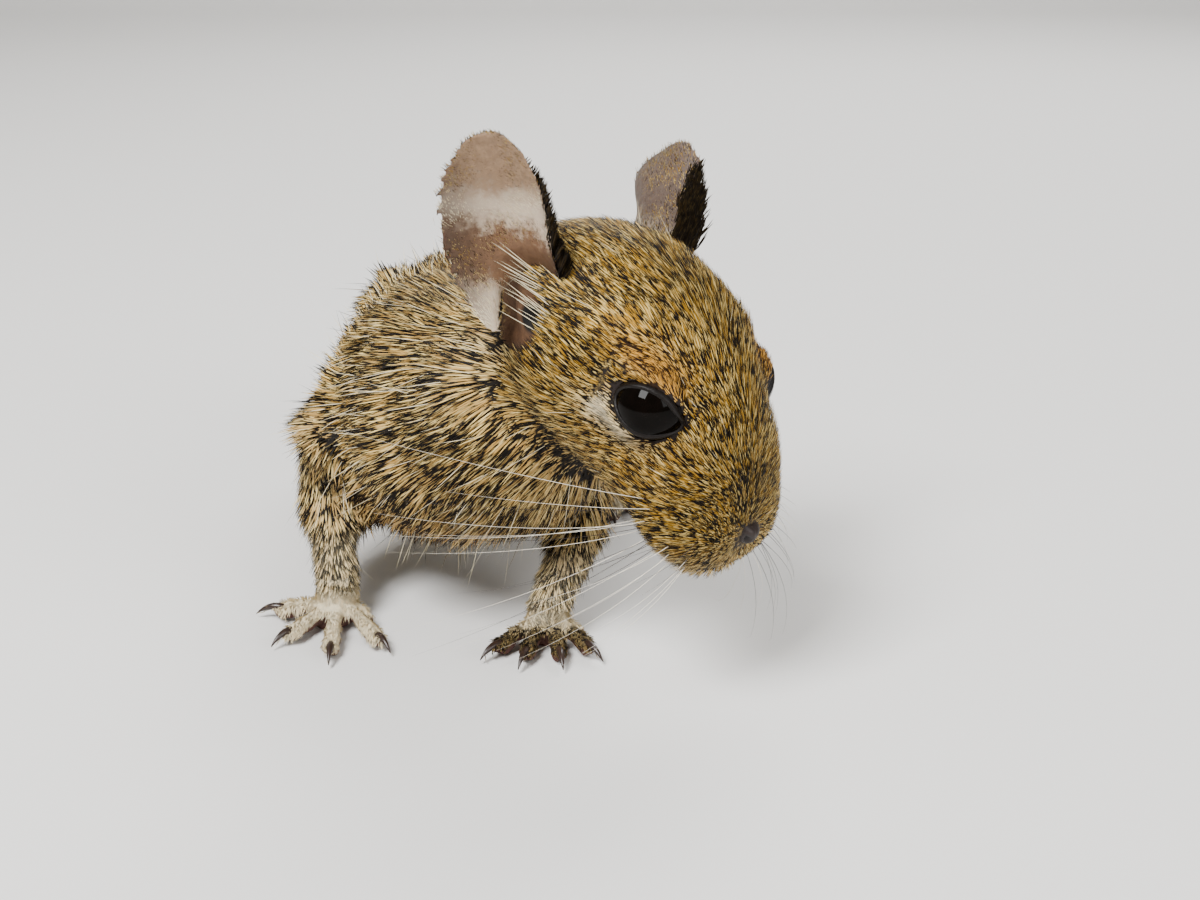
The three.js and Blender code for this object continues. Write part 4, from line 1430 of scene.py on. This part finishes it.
def nose_arrays(steps=34, around=64):
    """A small soft pad with two comma-shaped nostrils, and how deep in a nostril each point is."""
    angle = np.linspace(0, 2 * math.pi, around, endpoint=False)
    share = np.linspace(0, 1, steps)[1:] ** 0.9
    out = np.concatenate(([0], (share[:, None] * np.cos(angle) * 1.75).ravel()))
    up = np.concatenate(([0], (share[:, None] * np.sin(angle) * 1.25).ravel()))
    reach = np.concatenate(([0], np.repeat(share, around)))
    up = up + 0.25 * np.abs(out) * (up > 0)
    pit = np.exp(-((np.abs(out) - 0.78 - 0.2 * up) / 0.3) ** 2 - ((up + 0.05) / 0.42) ** 2)
    crease = np.exp(-(out / 0.14) ** 2) * (up < 0.1)
    forward = 0.55 * (1 - reach ** 3) - 0.7 * pit - 0.18 * crease - 1.1 * reach ** 6
    local = np.stack((NOSE_PLACE[0] + forward - 0.12 * up * up - 0.25 * out * out + 0.1, out,
                      NOSE_PLACE[2] + up), axis=1)
    rows = [(0, 1 + s, 1 + (s + 1) % around) for s in range(around)]
    for r in range(len(share) - 1):
        for s in range(around):
            a = 1 + r * around + s
            b = 1 + r * around + (s + 1) % around
            rows += [(a, a + around, b + around), (a, b + around, b)]
    back = len(local)
    local = np.vstack((local, (NOSE_PLACE[0] - 2.0, 0, NOSE_PLACE[2])))
    last = 1 + (len(share) - 1) * around
    rows += [(last + s, back, last + (s + 1) % around) for s in range(around)]
    return HEAD_CENTRE + local @ HEAD * MM, np.array(rows), np.append(pit, 0)


class DEGU_OT_nose(bpy.types.Operator):
    """Small dark nose with both nostrils"""

    bl_idname = "degu.nose"
    bl_label = "Nose"

    def execute(self, context):
        points, tris, pit = nose_arrays()
        mesh = new_mesh("nose", points, tris)
        add_vector(mesh, "pit", np.stack((pit, pit, pit), axis=1))
        new_object("nose", mesh, nose_material())
        return {"FINISHED"}


class DEGU_OT_guard_hairs(bpy.types.Operator):
    """Sparse long thin hairs that stand out of the coat"""

    bl_idname = "degu.guard_hairs"
    bl_label = "Guard hairs"

    def execute(self, context):
        draw = np.random.default_rng(SEED + 5)
        skin = Build.skin
        labels = skin["labels"]
        long_parts = on_parts(labels, "neck", "torso", "thigh", "upper_arm", "forearm", "shank")
        weight = (long_parts + 0.25 * on_parts(labels, "head")) * (skin["sizes"][:, 3] > 1)
        roots = scatter(Build.skin_piece.data, skin, weight + 1e-9, GUARD_HAIRS, draw)
        roots["sizes"] = roots["sizes"] * (1.35, 0.42, 1.6, 1)
        pale = draw.uniform(0, 1, (GUARD_HAIRS, 1)) < 0.5
        roots["marks"] = np.where(pale, (0.95, 0.1, 0.0), (0.0, 0.0, 0.96))
        mesh = blade_mesh("guard_hairs", roots, draw, bend=0.35, spacing=2, pull=0.0, jitter=0.2)
        new_object("guard_hairs", mesh, coat_material())
        return {"FINISHED"}


class DEGU_OT_ear_hairs(bpy.types.Operator):
    """Long pale hairs that sweep from the front of each ear across its opening"""

    bl_idname = "degu.ear_hairs"
    bl_label = "Ear opening hairs"

    def execute(self, context):
        draw = np.random.default_rng(SEED + 4)
        skin = Build.skin
        count = EAR_OPENING_HAIRS
        for name, side in SIDES.items():
            rises, _, front, lobe = ear_frame(side)
            outward = head_way((0, 1, 0), side)
            local = (skin["points"] - lobe) / MM
            hollow = ear_hollow(skin["points"])
            rim = (hollow > 0.15) * (hollow < 0.55) * (local @ front > 1.5)
            rim = rim * np.exp(-((local @ rises - 3.0) / 3.4) ** 4) * (local @ outward > -5)
            roots = scatter(Build.skin_piece.data, skin, rim + 1e-12, count, draw)
            high = np.clip((on_head(roots["points"])[:, 2] + 0.5) / 6, 0, 1)
            ways = np.tile((-0.8, 0.62 * side, -0.12), (count, 1))
            ways[:, 2] += 0.5 * high
            roots["normals"] = unit(roots["normals"] + outward)
            flow = unit(ways @ HEAD + draw.normal(size=(count, 3)) * 0.07)
            across = np.sum(flow * roots["normals"], axis=1, keepdims=True)
            roots["flow"] = unit(flow - roots["normals"] * across * 0.3)
            roots["sizes"] = np.tile((6.4, 0.1, 3, 1), (count, 1))
            roots["marks"] = np.tile((0.95, 0.0, 0.0), (count, 1))
            mesh = blade_mesh(f"ear_hairs_{name}", roots, draw, spacing=3, pull=0.15, jitter=0.05)
            new_object(f"ear_hairs_{name}", mesh, coat_material())
        return {"FINISHED"}


class DEGU_OT_whiskers(bpy.types.Operator):
    """Long pale and short dark whiskers in rows on both sides of the muzzle"""

    bl_idname = "degu.whiskers"
    bl_label = "Whiskers"

    def execute(self, context):
        draw = np.random.default_rng(SEED + 3)
        pale, dark = [], []
        for side in SIDES.values():
            for row in range(WHISKER_ROWS):
                for column in range(WHISKER_COLUMNS):
                    place = (23.0 - 1.3 * column, 5.6 + 0.5 * column - 0.25 * row, -6.4 - 1.1 * row)
                    root = head_point(place, side)
                    long_share = 0.4 + 0.6 * column / (WHISKER_COLUMNS - 1)
                    ahead = 0.35 - 0.22 * column if side == RIGHT else 0.9 - 0.1 * column
                    way = head_way((ahead, 0.9, -0.1 - 0.17 * row), side)
                    way = unit(way + draw.normal(size=3) * 0.09)
                    length = (8 + 24 * long_share * draw.uniform(0.7, 1.1)) * MM
                    droop = head_way((-0.3, -0.1, -0.16), side) + draw.normal(size=3) * 0.03
                    group = dark if draw.uniform() < (0.3 if side == RIGHT else 0.7) else pale
                    group.append(whisker_arrays(root, way, length, droop))
        for name, group, colour in (("whiskers_pale", pale, srgb("efe6d4")),
                                    ("whiskers_dark", dark, srgb("241c18"))):
            mesh = new_mesh(name, *joined(group))
            new_object(name, mesh, whisker_material(name, colour))
        return {"FINISHED"}


def aim(way):
    """Turn of a lamp that makes it shine along a direction."""
    return Vector(way).to_track_quat("-Z", "Y").to_euler()


def floor_arrays():
    """A level floor that bends up far behind the animal."""
    turns = np.linspace(0.1, math.pi / 2, 14)
    bend = [(0.62 + 0.13 * math.sin(a), 0.13 - 0.13 * math.cos(a)) for a in turns]
    profile = [(-1.2, 0), (0.55, 0), *bend, (0.75, 1.2)]
    points = [(x, y, z) for y, z in profile for x in (-1.6, 1.6)]
    faces = [(i, i + 1, i + 3, i + 2) for i in range(0, 2 * len(profile) - 2, 2)]
    return points, faces


class DEGU_OT_stage(bpy.types.Operator):
    """Pale floor, soft lights and the camera"""

    bl_idname = "degu.stage"
    bl_label = "Stage"

    def execute(self, context):
        scene = context.scene
        mesh = new_mesh("floor", *floor_arrays())
        floor = bpy.data.objects.new("floor", mesh)
        scene.collection.objects.link(floor)
        mesh.polygons.foreach_set("use_smooth", [True] * len(mesh.polygons))
        material, _, shader = new_material("floor", 0.8, Specular_IOR_Level=0.2)
        shader["Base Color"].default_value = (0.72, 0.71, 0.69, 1)
        mesh.materials.append(material)
        world = bpy.data.worlds.new("studio")
        world.use_nodes = True
        back = world.node_tree.nodes["Background"]
        back.inputs["Color"].default_value = (1.0, 0.97, 0.93, 1)
        back.inputs["Strength"].default_value = 0.28
        scene.world = world
        for name, away, size, power in LAMPS:
            light = bpy.data.lights.new(name, "AREA")
            light.size = size
            light.energy = power
            lamp = bpy.data.objects.new(name, light)
            lamp.location = HEAD_CENTRE + np.array(away)
            lamp.rotation_euler = aim(-np.array(away))
            scene.collection.objects.link(lamp)
        camera = bpy.data.cameras.new("camera")
        camera.sensor_width = SENSOR_WIDTH
        camera.lens = SENSOR_WIDTH * FOCAL_PIXELS / IMAGE_WIDTH
        camera.clip_start = 0.01
        view = bpy.data.objects.new("camera", camera)
        view.location = HEAD_CENTRE + np.array(CAMERA_FROM_HEAD) * MM
        view.rotation_euler = (math.pi / 2 - CAMERA_DOWN, 0, 0)
        scene.collection.objects.link(view)
        scene.camera = view
        return {"FINISHED"}


class DEGU_PT_panel(bpy.types.Panel):
    """Lists the pieces of the degu"""

    bl_label = "Degu"
    bl_idname = "DEGU_PT_panel"
    bl_space_type = "VIEW_3D"
    bl_region_type = "UI"
    bl_category = "Degu"

    def draw(self, context):
        for name in ("body_hairs", "ear_hairs", "hairs_per_piece"):
            self.layout.prop(context.scene.degu_coat, name)
        for name in ("gold", "straw", "orange", "cream", "slate", "umber"):
            self.layout.prop(context.scene.degu_colours, name)
        for operator in OPERATORS:
            self.layout.operator(operator.bl_idname)


OPERATORS = (DEGU_OT_skin, DEGU_OT_coat, DEGU_OT_guard_hairs, DEGU_OT_ears, DEGU_OT_ear_hairs, DEGU_OT_eyes,
             DEGU_OT_nose, DEGU_OT_claws, DEGU_OT_whiskers, DEGU_OT_stage)
CLASSES = (DeguColours, DeguCoat, *OPERATORS, DEGU_PT_panel)


def register():
    """Registers the settings, the operators and the panel."""
    for item in CLASSES:
        bpy.utils.register_class(item)
    bpy.types.Scene.degu_colours = bpy.props.PointerProperty(type=DeguColours)
    bpy.types.Scene.degu_coat = bpy.props.PointerProperty(type=DeguCoat)


def unregister():
    """Takes them out again."""
    del bpy.types.Scene.degu_coat
    del bpy.types.Scene.degu_colours
    for item in reversed(CLASSES):
        bpy.utils.unregister_class(item)


def main():
    """Builds the degu."""
    register()
    bpy.ops.degu.stage()
    bpy.ops.degu.skin()
    bpy.ops.degu.coat()
    bpy.ops.degu.guard_hairs()
    bpy.ops.degu.ears()
    bpy.ops.degu.ear_hairs()
    bpy.ops.degu.eyes()
    bpy.ops.degu.nose()
    bpy.ops.degu.claws()
    bpy.ops.degu.whiskers()


if __name__ == "__main__":
    main()
